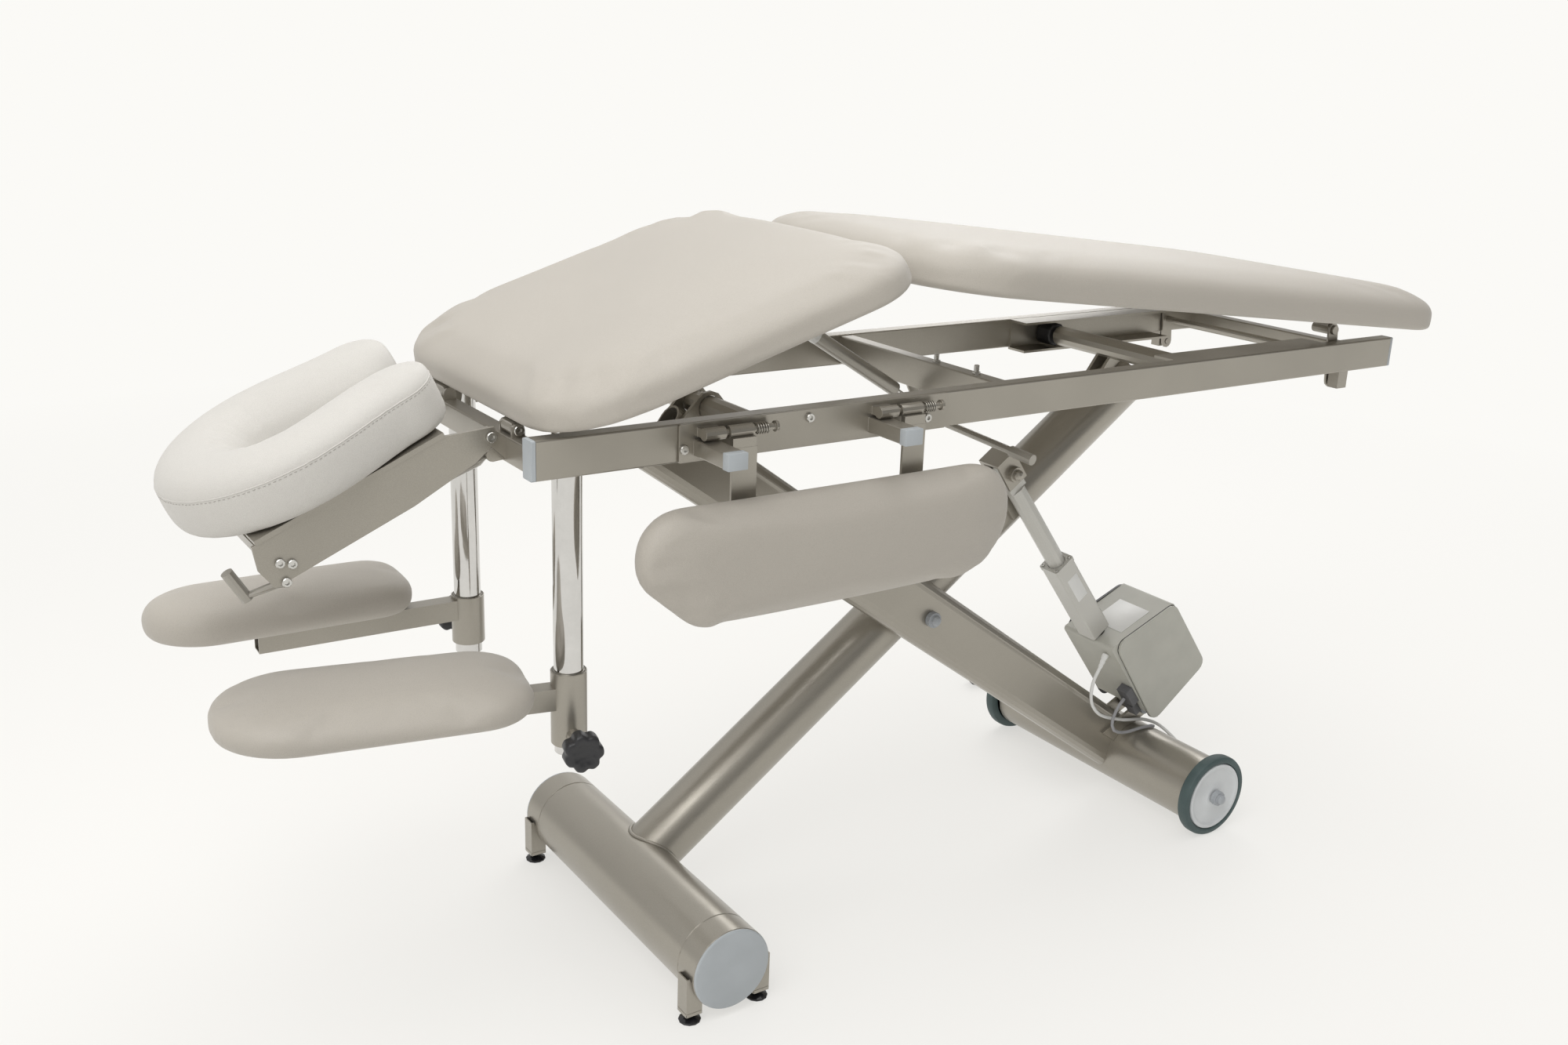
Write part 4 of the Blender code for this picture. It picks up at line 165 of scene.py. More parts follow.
def powder_coat(name, base, metallic, roughness):
    """Satin metallic powder coat: fine peel, flakes and a little handling wear."""
    look = Look(name)
    place = look.coords()
    flakes = look.noise(place, 2600.0, 1.0)
    cloud = look.noise(place, 7.0, 4.0)
    peel = look.noise(place, 420.0, 2.0)
    colour = look.mix(look.ramp(flakes, 0.35, 0.65), tint(base, 0.86), tint(base, 1.10))
    colour = look.mix(look.ramp(cloud, 0.35, 0.7, 0.0, 0.35), colour, tint(base, 0.93))
    rough = look.ramp(cloud, 0.3, 0.7, roughness - 0.05, roughness + 0.06)
    return look.finish(colour, rough, metallic, look.bump(peel, 0.00025, 0.35), Coat_Weight=0.25,
                       Coat_Roughness=0.22)


def vinyl(name, base):
    """Upholstery vinyl: fine pebble grain, soft sheen and faint handling marks."""
    look = Look(name)
    place = look.coords()
    cells = look.node("TexVoronoi", {"feature": "DISTANCE_TO_EDGE"}, place, Scale=760.0)
    grain = look.ramp(cells, 0.0, 0.22)
    fine = look.noise(place, 1500.0, 2.0)
    cloud = look.noise(place, 5.5, 5.0)
    colour = look.mix(look.ramp(cloud, 0.3, 0.7), tint(base, 0.965), tint(base, 1.03))
    colour = look.mix(grain, tint(base, 0.90), colour)
    rough = look.ramp(cloud, 0.3, 0.7, 0.50, 0.58) + fine * 0.05
    relief = look.bump(grain + fine * 0.3, 0.00022, 0.5)
    return look.finish(colour, rough, 0.0, relief, Sheen_Weight=0.15, Sheen_Roughness=0.5, Coat_Weight=0.06,
                       Coat_Roughness=0.35)


def moulded(name, base, roughness, grain=0.3, scale=900.0):
    """Moulded plastic with a fine spark-eroded texture."""
    look = Look(name)
    place = look.coords()
    pits = look.noise(place, scale, 3.0, 0.6)
    cloud = look.noise(place, 18.0, 3.0)
    colour = look.mix(look.ramp(cloud, 0.3, 0.7), tint(base, 0.94), tint(base, 1.05))
    rough = look.ramp(pits, 0.3, 0.7, roughness - 0.06, roughness + 0.06)
    return look.finish(colour, rough, 0.0, look.bump(pits, 0.0002, grain))


def bare_metal(name, base, roughness, grain=0.15):
    """Plated or polished steel with faint wiping marks."""
    look = Look(name)
    place = look.coords()
    marks = look.noise(place, 35.0, 6.0, 0.7)
    fine = look.noise(place, 700.0, 2.0)
    colour = look.mix(look.ramp(marks, 0.35, 0.65), tint(base, 0.93), base)
    rough = look.ramp(marks, 0.3, 0.7, roughness * 0.7, roughness * 1.35)
    return look.finish(colour, rough, 1.0, look.bump(fine, 0.00008, grain))


def rubber(name, base, roughness):
    """Tyre rubber with fine pits and a little dust."""
    look = Look(name)
    place = look.coords()
    pits = look.noise(place, 500.0, 4.0, 0.65)
    dust = look.noise(place, 28.0, 4.0)
    dusty = tuple(min(part * 1.6 + 0.03, 1) for part in base)
    colour = look.mix(look.ramp(dust, 0.45, 0.8, 0.0, 0.35), base, dusty)
    return look.finish(colour, look.ramp(pits, 0.3, 0.7, roughness - 0.05, roughness + 0.08), 0.0,
                       look.bump(pits, 0.0003, 0.4))


GREIGE = (0.375, 0.350, 0.302)
LOOKS = {
    "frame_paint": powder_coat("frame_powder_coat", GREIGE, 0.72, 0.34),
    "vinyl": vinyl("warm_grey_vinyl", (0.46, 0.427, 0.375)),
    "vinyl_light": vinyl("light_grey_vinyl", (0.62, 0.60, 0.56)),
    "chrome": bare_metal("chrome_plate", (0.66, 0.65, 0.63), 0.07),
    "steel": bare_metal("zinc_plated_steel", (0.62, 0.61, 0.58), 0.26, 0.3),
    "cap_plastic": moulded("blue_grey_cap_plastic", (0.42, 0.45, 0.47), 0.5),
    "black_plastic": moulded("black_knob_plastic", (0.022, 0.022, 0.024), 0.42, 0.5),
    "black_gloss": moulded("black_gloss_plastic", (0.014, 0.014, 0.016), 0.18, 0.1),
    "actuator_grey": powder_coat("actuator_grey_coat", (0.56, 0.55, 0.51), 0.2, 0.36),
    "housing_green_grey": moulded("green_grey_housing", (0.46, 0.455, 0.405), 0.42),
    "housing_beige": moulded("black_housing_rim", (0.045, 0.045, 0.048), 0.4),
    "plug_grey": moulded("dark_plug_plastic", (0.10, 0.10, 0.105), 0.45),
    "tyre_rubber": rubber("teal_grey_tyre", (0.055, 0.085, 0.085), 0.55),
    "hub_plastic": moulded("pale_hub_plastic", (0.62, 0.64, 0.65), 0.42),
    "cord_grey": moulded("grey_cord_sheath", (0.30, 0.30, 0.31), 0.45, 0.2),
    "cord_white": moulded("white_cord_sheath", (0.72, 0.72, 0.70), 0.4, 0.2),
}
NUT_CAP = moulded("grey_nut_cap", (0.36, 0.38, 0.40), 0.4)
SPRING_TUBE = powder_coat("spring_tube_coat", (0.36, 0.34, 0.30), 0.55, 0.3)
LABEL = moulded("blank_label", (0.72, 0.72, 0.70), 0.35, 0.1)
THREAD = moulded("seam_thread", (0.36, 0.34, 0.31), 0.7)
BLACK_SPRING = bare_metal("dark_spring_wire", (0.42, 0.40, 0.36), 0.3)


# Modelling helpers

SOFT_SMOOTH = 80   # degrees up to which the edges of padding, wire and cords are shaded round
SMOOTH = 35        # the same for hard pieces


def clear():
    if bpy.context.mode != "OBJECT":
        bpy.ops.object.mode_set(mode="OBJECT")
    bpy.ops.object.select_all(action="DESELECT")


def settle(thing, name, body, slot, place=SHIFT, smooth=SMOOTH, bevel=0.0, look=None):
    """Names a modelled piece, eases its edges, puts its place in its mesh and gives it to a body."""
    clear()
    thing.name = name
    thing.data.name = name
    thing.select_set(True)
    bpy.context.view_layer.objects.active = thing
    if thing.type == "CURVE":
        bpy.ops.object.convert(target="MESH")
        thing = bpy.context.object
    bpy.ops.object.transform_apply(location=True, rotation=True, scale=True)
    if bevel:
        edge = thing.modifiers.new("edges", "BEVEL")
        edge.width = bevel
        edge.segments = 2
        edge.limit_method = "ANGLE"
        edge.angle_limit = radians(40)
        bpy.ops.object.modifier_apply(modifier=edge.name)
    thing.data.transform(place)
    thing.data.update()
    thing.data.materials.clear()
    thing.data.materials.append(look or LOOKS[slot])
    bpy.ops.object.shade_smooth_by_angle(angle=radians(smooth))
    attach(thing, body)
    return thing


def box(low, high):
    """A block between two corners."""
    clear()
    centre = [(a + b) / 2 for a, b in zip(low, high)]
    bpy.ops.mesh.primitive_cube_add(size=1, location=centre)
    thing = bpy.context.object
    thing.scale = [b - a for a, b in zip(low, high)]
    bpy.ops.object.transform_apply(location=True, rotation=True, scale=True)
    return thing


def aim(direction):
    return Vector(direction).to_track_quat("Z", "Y").to_euler()


def turned(profile, start, direction, count=48):
    """A turned shape: (distance along, radius) pairs from a start point along a direction."""
    clear()
    bpy.ops.mesh.primitive_circle_add(vertices=count, radius=max(profile[0][1], 1e-4), fill_type="NGON")
    thing = bpy.context.object
    bpy.ops.object.mode_set(mode="EDIT")
    bpy.ops.mesh.select_mode(type="FACE")
    bpy.ops.mesh.select_all(action="SELECT")
    for (before, old), (after, new) in zip(profile, profile[1:]):
        bpy.ops.mesh.extrude_region_move(TRANSFORM_OT_translate={"value": (0, 0, after - before)})
        share = max(new, 1e-4) / max(old, 1e-4)
        bpy.ops.transform.resize(value=(share, share, 1), center_override=(0, 0, after))
    bpy.ops.mesh.select_all(action="SELECT")
    bpy.ops.mesh.normals_make_consistent(inside=False)
    bpy.ops.object.mode_set(mode="OBJECT")
    thing.data.transform(Matrix.Translation(Vector(start)) @ aim(direction).to_matrix().to_4x4()
                         @ Matrix.Translation((0, 0, profile[0][0])))
    return thing


def joined(things):
    """Several pieces as one."""
    clear()
    for thing in things:
        thing.select_set(True)
    bpy.context.view_layer.objects.active = things[0]
    bpy.ops.object.join()
    return bpy.context.object


def wire(points, radius, closed=False, resolution=3):
    """A smooth round wire along points."""
    clear()
    data = bpy.data.curves.new("wire", "CURVE")
    data.dimensions = "3D"
    data.bevel_depth = radius
    data.bevel_resolution = resolution
    data.use_fill_caps = not closed
    line = data.splines.new("POLY")
    line.points.add(len(points) - 1)
    for target, point in zip(line.points, points):
        target.co = (*point, 1)
    line.use_cyclic_u = closed
    thing = linked("wire", data)
    return thing


def flowing(points, steps=6):
    """Points on a smooth curve through the given ones."""
    spread = [Vector(p) for p in points]
    ends = [2 * spread[0] - spread[1]] + spread + [2 * spread[-1] - spread[-2]]
    result = []
    for a, b, c, d in zip(ends, ends[1:], ends[2:], ends[3:]):
        for k in range(steps):
            t = k / steps
            result.append(0.5 * (2 * b + (c - a) * t + (2 * a - 5 * b + 4 * c - d) * t ** 2
                                 + (3 * b - a - 3 * c + d) * t ** 3))
    return result + [spread[-1]]


# Padding

def ring_faces(rings, count):
    """Faces between rings of points, each with the same count."""
    return [[k * count + i, k * count + (i + 1) % count, (k + 1) * count + (i + 1) % count, (k + 1) * count + i]
            for k in range(rings - 1) for i in range(count)]


def rounded(corners, radii, steps=10):
    """An outline with each corner rounded."""
    outline = []
    for i, corner in enumerate(corners):
        here = Vector(corner)
        a = (Vector(corners[i - 1]) - here).normalized()
        b = (Vector(corners[(i + 1) % len(corners)]) - here).normalized()
        half = acos(max(-1, min(1, a.dot(b)))) / 2
        radius = radii[i]
        reach = radius / sin(half) if sin(half) else 0
        centre = here + (a + b).normalized() * reach
        first = here + a * (radius * cos(half) / sin(half)) - centre
        last = here + b * (radius * cos(half) / sin(half)) - centre
        turn = first.angle_signed(last)
        for k in range(steps + 1):
            part = first.copy()
            part.rotate(Matrix.Rotation(-turn * k / steps, 2))
            outline.append(tuple(centre + part))
    return outline


def inset(outline, distance):
    """The same outline moved inwards."""
    moved = []
    for i, point in enumerate(outline):
        along = Vector(outline[(i + 1) % len(outline)]) - Vector(outline[i - 1])
        normal = Vector((along.y, -along.x)).normalized()
        moved.append((point[0] - normal.x * distance, point[1] - normal.y * distance))
    return moved


def even(outline, step):
    """The same outline with points at even steps."""
    closed = [Vector(p) for p in outline] + [Vector(outline[0])]
    lengths = [0.0]
    for a, b in zip(closed, closed[1:]):
        lengths.append(lengths[-1] + (b - a).length)
    count = int(lengths[-1] / step)
    result = []
    k = 0
    for i in range(count):
        at = lengths[-1] * i / count
        while lengths[k + 1] < at:
            k += 1
        share = (at - lengths[k]) / max(lengths[k + 1] - lengths[k], 1e-9)
        result.append(tuple(closed[k].lerp(closed[k + 1], share)))
    return result


def pad_shell(name, outline, bottom, thick, crown, under, rim):
    """A closed pad over an outline: tucked under, full at the sides, crowned on top."""
    outline = even(outline, 0.012)
    loops = []
    steps = 7
    for k in range(steps):
        turn = pi / 2 * k / steps
        loops.append((under * (1 - sin(turn)), bottom + 0.45 * thick * (1 - cos(turn))))
    for k in range(steps + 1):
        turn = pi / 2 * k / steps
        loops.append((rim * (1 - cos(turn)), bottom + 0.45 * thick + 0.55 * thick * sin(turn)))
    rings = [[(u, v, height) for u, v in inset(outline, distance)] for distance, height in loops]
    last = rings[-1]
    cu = sum(p[0] for p in last) / len(last)
    cv = sum(p[1] for p in last) / len(last)
    for share in (0.93, 0.84, 0.72, 0.58, 0.42, 0.25, 0.1):
        height = bottom + thick + crown * (1 - share ** 2)
        rings.append([(cu + (u - cu) * share, cv + (v - cv) * share, height) for u, v, w in last])
    mesh = bpy.data.meshes.new(name)
    count = len(outline)
    vertices = [point for ring in rings for point in ring]
    faces = ring_faces(len(rings), count)
    faces.append(list(reversed(range(count))))
    faces.append(list(range((len(rings) - 1) * count, len(rings) * count)))
    mesh.from_pydata(vertices, [], faces)
    thing = linked(name, mesh)
    return thing


SWELL_FRAMES = 20


def tempered(cloth, pressure):
    """Cloth settings of tight vinyl over foam."""
    cloth.settings.quality = 4
    cloth.settings.mass = 0.4
    cloth.settings.tension_stiffness = 18
    cloth.settings.compression_stiffness = 18
    cloth.settings.shear_stiffness = 8
    cloth.settings.bending_stiffness = 2.5
    cloth.settings.use_pressure = True
    cloth.settings.uniform_pressure_force = pressure
    cloth.settings.vertex_group_mass = "board"
    cloth.settings.effector_weights.gravity = 0
    cloth.collision_settings.use_collision = False
    cloth.collision_settings.use_self_collision = False


def plump(thing, voxel, cap, floor, pressure=4.0, hold=None):
    """Swells a pad by cloth simulation, its underside held by the board, and smooths it once."""
    clear()
    thing.select_set(True)
    bpy.context.view_layer.objects.active = thing
    remesh = thing.modifiers.new("remesh", "REMESH")
    remesh.mode = "VOXEL"
    remesh.voxel_size = voxel
    bpy.ops.object.modifier_apply(modifier=remesh.name)
    before = [v.co.copy() for v in thing.data.vertices]
    group = thing.vertex_groups.new(name="board")
    for v in thing.data.vertices:
        if v.co.z < floor or (hold and hold(v.co)):
            group.add([v.index], 1.0, "REPLACE")
    cloth = thing.modifiers.new("cloth", "CLOTH")
    tempered(cloth, pressure)
    for k in range(1, SWELL_FRAMES + 1):
        bpy.context.scene.frame_set(k)
    bpy.ops.object.modifier_apply(modifier=cloth.name)
    for v, old in zip(thing.data.vertices, before):
        move = v.co - old
        if move.length > cap:
            v.co = old + move * (cap / move.length)
    bpy.context.scene.frame_set(1)
    thing.vertex_groups.clear()
    ease = thing.modifiers.new("ease", "SMOOTH")
    ease.factor = 0.5
    ease.iterations = 6
    bpy.ops.object.modifier_apply(modifier=ease.name)
    fine = thing.modifiers.new("fine", "SUBSURF")
    fine.levels = 1
    fine.render_levels = 1
    bpy.ops.object.modifier_apply(modifier=fine.name)


def make_pad(name, outline, levels, place, body, node, voxel, cap, rim, under=0.014):
    """A vinyl pad: shaped, swollen and set in place; the frame's cushion is hidden."""
    bottom, thick, crown = levels
    shrink = 0.35 * cap
    pad = pad_shell(name, inset(outline, shrink), bottom, thick - shrink / 2, crown, under, rim)
    plump(pad, voxel, cap, bottom + 0.006)
    for v in pad.data.vertices:
        if v.co.z < bottom:
            v.co.z = bottom
    settle(pad, name, body, "vinyl", place, SOFT_SMOOTH)
    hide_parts(node)


def bowed(outline, bow):
    """The same outline with its long sides' ends pushed out."""
    low, high = min(p[0] for p in outline), max(p[0] for p in outline)
    left, right = min(p[1] for p in outline), max(p[1] for p in outline)
    centre, across, half = (low + high) / 2, (left + right) / 2, (right - left) / 2
    return [(u + bow * (1 - ((v - across) / half) ** 2) * (1 if u > centre else -1), v) for u, v in outline]


# Pads: outlines from the hinge, corner radii, then level of the underside, thickness and crown
CHEST_PAD = ((-0.014, -0.267), (0.114, -0.293), (0.560, -0.305),
             (0.560, 0.305), (0.114, 0.293), (-0.014, 0.267))
CHEST_RADII = (0.12, 0.17, 0.109, 0.109, 0.17, 0.12)
CHEST_LEVELS = (0.0107, 0.050, 0.010)
LEG_PAD = ((-0.943, -0.29), (0.2015, -0.29), (0.2015, 0.29), (-0.943, 0.29))
LEG_RADII = (0.15, 0.09, 0.09, 0.15)
LEG_LEVELS = (0.0176, 0.060, 0.010)
# Arm pads by side: start, end, half widths and shift; radii; bow; underside; thickness
ARM_PADS = {
    -1: ((-0.428, -0.064, 0.104, 0.098, -0.025), (0.088, 0.064), 0.010, 0.5038, 0.042),
    1: ((-0.4335, -0.085, 0.0795, 0.077, 0.030), (0.078, 0.050), 0.007, 0.5138, 0.051),
}
WING_PAD = ((0.1835, 0.590), (0.688, 0.590), (0.688, 0.757), (0.099, 0.757), (0.099, 0.6644))
WING_RADII = (0.055, 0.096, 0.062, 0.060, 0.055)
WING_LEVELS = (0.2568, 0.048, 0.006)
ARM_CROWN = 0.006
BED_VOXEL, LEG_VOXEL, SMALL_VOXEL = 0.0075, 0.0085, 0.0055
BED_SWELL, SMALL_SWELL = 0.008, 0.006
WING_FRAME = SHIFT @ Matrix(((1, 0, 0, 0), (0, 0, -1, 0), (0, 1, 0, 0), (0, 0, 0, 1)))


def add_pads():
    make_pad("chest_pad", rounded(CHEST_PAD, CHEST_RADII), CHEST_LEVELS, CHEST_FRAME, "chest_section",
             "chest_cushion", BED_VOXEL, BED_SWELL, 0.036)
    make_pad("leg_pad", rounded(LEG_PAD, LEG_RADII), LEG_LEVELS, LEG_FRAME, "leg_section",
             "leg_cushion", LEG_VOXEL, BED_SWELL, 0.040)
    for side, tag in SIDES:
        (start, end, wide, narrow, shift), (outer, inner), bow, bottom, thick = ARM_PADS[side]
        corners = [(start, shift - wide), (end, shift - narrow), (end, shift + narrow), (start, shift + wide)]
        outline = bowed(rounded(corners, [outer, inner, inner, outer]), bow)
        make_pad("arm_pad_" + tag, outline, (bottom, thick, ARM_CROWN), arm_frame(side), "arm_rest_" + tag,
                 "arm_cushion_" + tag, SMALL_VOXEL, SMALL_SWELL, 0.030)
    make_pad("wing_pad", rounded(WING_PAD, WING_RADII), WING_LEVELS, WING_FRAME, "wing",
             "wing_cushion", SMALL_VOXEL, SMALL_SWELL, 0.028)


# Face cushion: a horseshoe with a boxed side, a stitched seam and gathers at the hole

RING_U, RING_R, RING_HALF = 0.205, 0.090, 0.0625
RING_LOW, RING_THICK = 0.036, 0.070
SEAM_LEVEL = 0.060
LOBE_Y, LOBE_U, LOBE_END = 0.066, 0.075, 0.020
# Across the ring from its outside, and height above the underside
RING_SECTION = (
    (0.55, 0.0), (0.80, 0.001), (0.93, 0.006), (0.985, 0.016), (1.0, 0.030), (0.995, 0.046), (0.975, 0.058),
    (0.945, 0.0635), (0.86, 0.0705), (0.70, 0.0775), (0.48, 0.082), (0.22, 0.0835), (-0.05, 0.082),
    (-0.32, 0.077), (-0.56, 0.068), (-0.76, 0.055), (-0.90, 0.038), (-0.97, 0.022), (-0.93, 0.008),
    (-0.80, 0.001), (-0.5, 0.0), (0.0, 0.0))
STITCH_PITCH, STITCH_LENGTH, STITCH_DROP = 0.0062, 0.0042, 0.0030


def ring_line(lobe_steps=9, side_steps=8, turn_steps=18):
    """The horseshoe's centre line: place, and how full the section is."""
    half = []
    for k in range(1, lobe_steps + 1):
        swell = pi / 2 * k / lobe_steps
        half.append((LOBE_END + (LOBE_U - LOBE_END) * (1 - cos(swell)), LOBE_Y, sin(swell) ** 0.8))
    for k in range(1, side_steps):
        share = k / side_steps
        ease = share * share * (3 - 2 * share)
        half.append((LOBE_U + (RING_U - LOBE_U) * share, LOBE_Y + (RING_R - LOBE_Y) * ease, 1.0))
    for k in range(turn_steps // 2 + 1):
        turn = pi * k / turn_steps
        half.append((RING_U + RING_R * sin(turn), RING_R * cos(turn), 1.0))
    return half + [(u, -v, s) for u, v, s in reversed(half[:-1])]


def crosswise(line, i):
    """The way out across the ring at a point of its centre line."""
    before, after = line[max(i - 1, 0)], line[min(i + 1, len(line) - 1)]
    along = Vector((after[0] - before[0], after[1] - before[1])).normalized()
    if line[i][0] < LOBE_U:
        along = Vector((1 if i < len(line) / 2 else -1, 0))
    return Vector((-along.y, along.x))


def add_face_cushion():
    """The horseshoe, swollen and gathered, with its seam and stitching."""
    line = ring_line()
    rings = []
    for i, (u, v, swell) in enumerate(line):
        lobe = u < LOBE_U
        out = crosswise(line, i)
        ring = []
        for across, height in RING_SECTION:
            level = 0.45 * RING_THICK + (height - 0.45 * RING_THICK) * (0.55 + 0.45 * swell if lobe else 1)
            at = Vector((u, v)) + out * across * (RING_HALF - 0.002) * swell
            ring.append((-at.x, at.y, RING_LOW + level))
        rings.append(ring)
    count = len(RING_SECTION)
    faces = ring_faces(len(rings), count)
    faces.append(list(range(count)))
    faces.append([(len(rings) - 1) * count + i for i in reversed(range(count))])
    mesh = bpy.data.meshes.new("face_cushion")
    mesh.from_pydata([p for ring in rings for p in ring], [], faces)
    pad = linked("face_cushion", mesh)
    bm = bmesh.new()
    bm.from_mesh(mesh)
    bmesh.ops.recalc_face_normals(bm, faces=bm.faces)
    if bm.calc_volume(signed=True) < 0:
        bmesh.ops.reverse_faces(bm, faces=bm.faces)
    bm.to_mesh(mesh)
    bm.free()
    seam_level = RING_LOW + SEAM_LEVEL

    def held(place):
        """The outer seam is sewn, so it stays."""
        from_centre = hypot(-place.x - RING_U, place.y)
        return abs(place.z - seam_level) < 0.003 and from_centre > 0.12

    plump(pad, 0.0045, 0.007, RING_LOW + 0.005, 5.0, held)
    for v in pad.data.vertices:
        u, across, height = -v.co.x, v.co.y, v.co.z
        turn = atan2(across, u - RING_U)
        from_centre = hypot(u - RING_U, across)
        if u > RING_U - 0.03 and from_centre < 0.085 and height > RING_LOW + 0.012:
            depth = max(0.0, 1 - abs(from_centre - 0.048) / 0.034)
            facing = max(0.0, cos(turn * 0.75)) ** 0.6
            waves = sin(13 * turn + 1.2 * sin(3 * turn)) + 0.45 * sin(29 * turn + 0.8)
            v.co.z += 0.0021 * waves * depth * facing
            push = 0.0009 * waves * depth * facing
            v.co.x -= push * cos(turn)
            v.co.y += push * sin(turn)
        v.co.z = max(v.co.z, RING_LOW)
    pad.data.update()
    tree = BVHTree.FromPolygons([v.co for v in pad.data.vertices], [p.vertices[:] for p in pad.data.polygons])
    outer = []
    for i, (u, v, swell) in enumerate(line):
        at = Vector((u, v)) + crosswise(line, i) * RING_HALF * 1.06 * swell
        outer.append((-at.x, at.y, seam_level))
    seam = []
    for point in flowing(outer, 7):
        near, normal, _, _ = tree.find_nearest(Vector(point))
        seam.append((near, normal))
    welt = wire([near - normal * 0.00035 for near, normal in seam], 0.0010, resolution=2)
    settle(welt, "face_cushion_welt", "head_section", "vinyl_light", HEAD_FRAME, SOFT_SMOOTH)
    lengths = [0.0]
    for (a, _), (b, _) in zip(seam, seam[1:]):
        lengths.append(lengths[-1] + (b - a).length)
    stitches = bmesh.new()
    k = 0
    at = 0.02
    while at < lengths[-1] - 0.02:
        while lengths[k + 1] < at:
            k += 1
        near, normal = seam[k]
        along = (seam[k + 1][0] - near).normalized()
        down = normal.cross(along).normalized()
        if down.z > 0:
            down = -down
        share = (at - lengths[k]) / (lengths[k + 1] - lengths[k])
        middle = near.lerp(seam[k + 1][0], share) + down * STITCH_DROP
        near, normal, _, _ = tree.find_nearest(middle)
        turn = Matrix((along, down, normal)).transposed().to_4x4()
        made = bmesh.ops.create_uvsphere(stitches, u_segments=6, v_segments=4, radius=1)
        shape = Matrix.Diagonal((STITCH_LENGTH / 2, 0.00042, 0.00038, 1))
        bmesh.ops.transform(stitches, verts=made["verts"],
                            matrix=Matrix.Translation(near + normal * 0.0001) @ turn @ shape)
        at += STITCH_PITCH
    mesh = bpy.data.meshes.new("stitching")
    stitches.to_mesh(mesh)
    stitches.free()
    row = linked("stitching", mesh)
    settle(row, "face_cushion_stitching", "head_section", "vinyl_light", HEAD_FRAME, SOFT_SMOOTH, look=THREAD)
    settle(pad, "face_cushion", "head_section", "vinyl_light", HEAD_FRAME, SOFT_SMOOTH)
    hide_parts("head_cushion")


# Round tubes of the lift, drawn over the frame's

TUBE_SKIN = 0.0003
FOOT_TUBE_R, WHEEL_TUBE_R, INNER_ARM_R, INNER_ARM_Y = 0.0605, 0.059, 0.045, 0.030
SLEEVE_START, SLEEVE_END, SLEEVE_GAP = 0.2268, 0.2696, 0.0004
END_DISC = ((0, 0.0590), (0.0010, 0.0602), (0.0030, 0.0602), (0.0042, 0.0590), (0.0046, 0.0572))
ARM_SKIN_START, WELD_BEAD = 0.030, 0.0028
ARM_SKIN_END, WHEEL_SKIN = 1.155, 0.2345


def tube(radius, start, length, direction, ease=0.0012, count=96):
    """A round skin with eased ends."""
    return turned([(0, radius - ease), (ease, radius), (length - ease, radius), (length, radius - ease)],
                  start, direction, count)


def add_lift():
    """Tubes of the scissor with the weld bead, end sleeves and end discs."""
    half = SLEEVE_START - SLEEVE_GAP
    made = tube(FOOT_TUBE_R + TUBE_SKIN, (FOOT_X, -half, AXLE_Z), 2 * half, (0, 1, 0))
    settle(made, "foot_tube", "inner_arm", "frame_paint")
    along = Vector((cos(ARM_ANGLE), 0, sin(ARM_ANGLE)))
    across = Vector((-sin(ARM_ANGLE), 0, cos(ARM_ANGLE)))
    base = Vector((FOOT_X, INNER_ARM_Y, AXLE_Z))
    start = base + along * ARM_SKIN_START
    made = tube(INNER_ARM_R + TUBE_SKIN, start, ARM_SKIN_END, along)
    settle(made, "inner_arm_tube", "inner_arm", "frame_paint")
    ring = []
    for k in range(72):
        turn = 2 * pi * k / 72
        y = (INNER_ARM_R + 0.0015) * sin(turn)
        lift = (INNER_ARM_R + 0.0015) * cos(turn)
        reach = sqrt((FOOT_TUBE_R + 0.0012) ** 2 - lift * lift)
        ring.append(base + along * reach + across * lift + Vector((0, y, 0)))
    weld = wire(ring, WELD_BEAD, closed=True)
    settle(weld, "foot_tube_weld", "inner_arm", "frame_paint", smooth=SOFT_SMOOTH)
    made = tube(WHEEL_TUBE_R + TUBE_SKIN, (WHEEL_X, -WHEEL_SKIN, AXLE_Z), 2 * WHEEL_SKIN, (0, 1, 0))
    settle(made, "wheel_tube", "outer_arm", "frame_paint")
    for side, tag in SIDES:
        made = tube(FOOT_TUBE_R + TUBE_SKIN, (FOOT_X, side * SLEEVE_START, AXLE_Z), SLEEVE_END - SLEEVE_START,
                    (0, side, 0))
        settle(made, "foot_sleeve_skin_" + tag, "base", "frame_paint")
        disc = turned(END_DISC, (FOOT_X, side * (SLEEVE_END - 0.0010), AXLE_Z), (0, side, 0), 96)
        settle(disc, "end_disc_" + tag, "base", "cap_plastic", bevel=0.0004)


# Wheels: distance out from the inner face, and radius
WHEEL_FACE_Y = 0.2402
TYRE = ((0.0, 0.0600), (0.0006, 0.0690), (0.0022, 0.0716), (0.0052, 0.0728), (0.0108, 0.0730),
        (0.0163, 0.0728), (0.0193, 0.0716), (0.0209, 0.0690), (0.0215, 0.0640), (0.0200, 0.0612),
        (0.0150, 0.0598), (0.0080, 0.0598))
HUB = ((0.0, 0.0590), (0.0195, 0.0597), (0.0212, 0.0588), (0.0216, 0.0565), (0.0210, 0.0535), (0.0186, 0.0515),
       (0.0176, 0.0480), (0.0174, 0.0300), (0.0176, 0.0200), (0.0190, 0.0180), (0.0196, 0.0160))


def add_wheels():
    for side, tag in SIDES:
        middle = (WHEEL_X, side * WHEEL_FACE_Y, AXLE_Z)
        tyre = turned(TYRE, middle, (0, side, 0), 96)
        settle(tyre, "tyre_skin_" + tag, "wheel_" + tag, "tyre_rubber")
        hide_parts("tyre_" + tag)
        hub = turned(HUB, middle, (0, side, 0), 96)
        settle(hub, "hub_skin_" + tag, "wheel_" + tag, "hub_plastic")
        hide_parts("hub_" + tag)


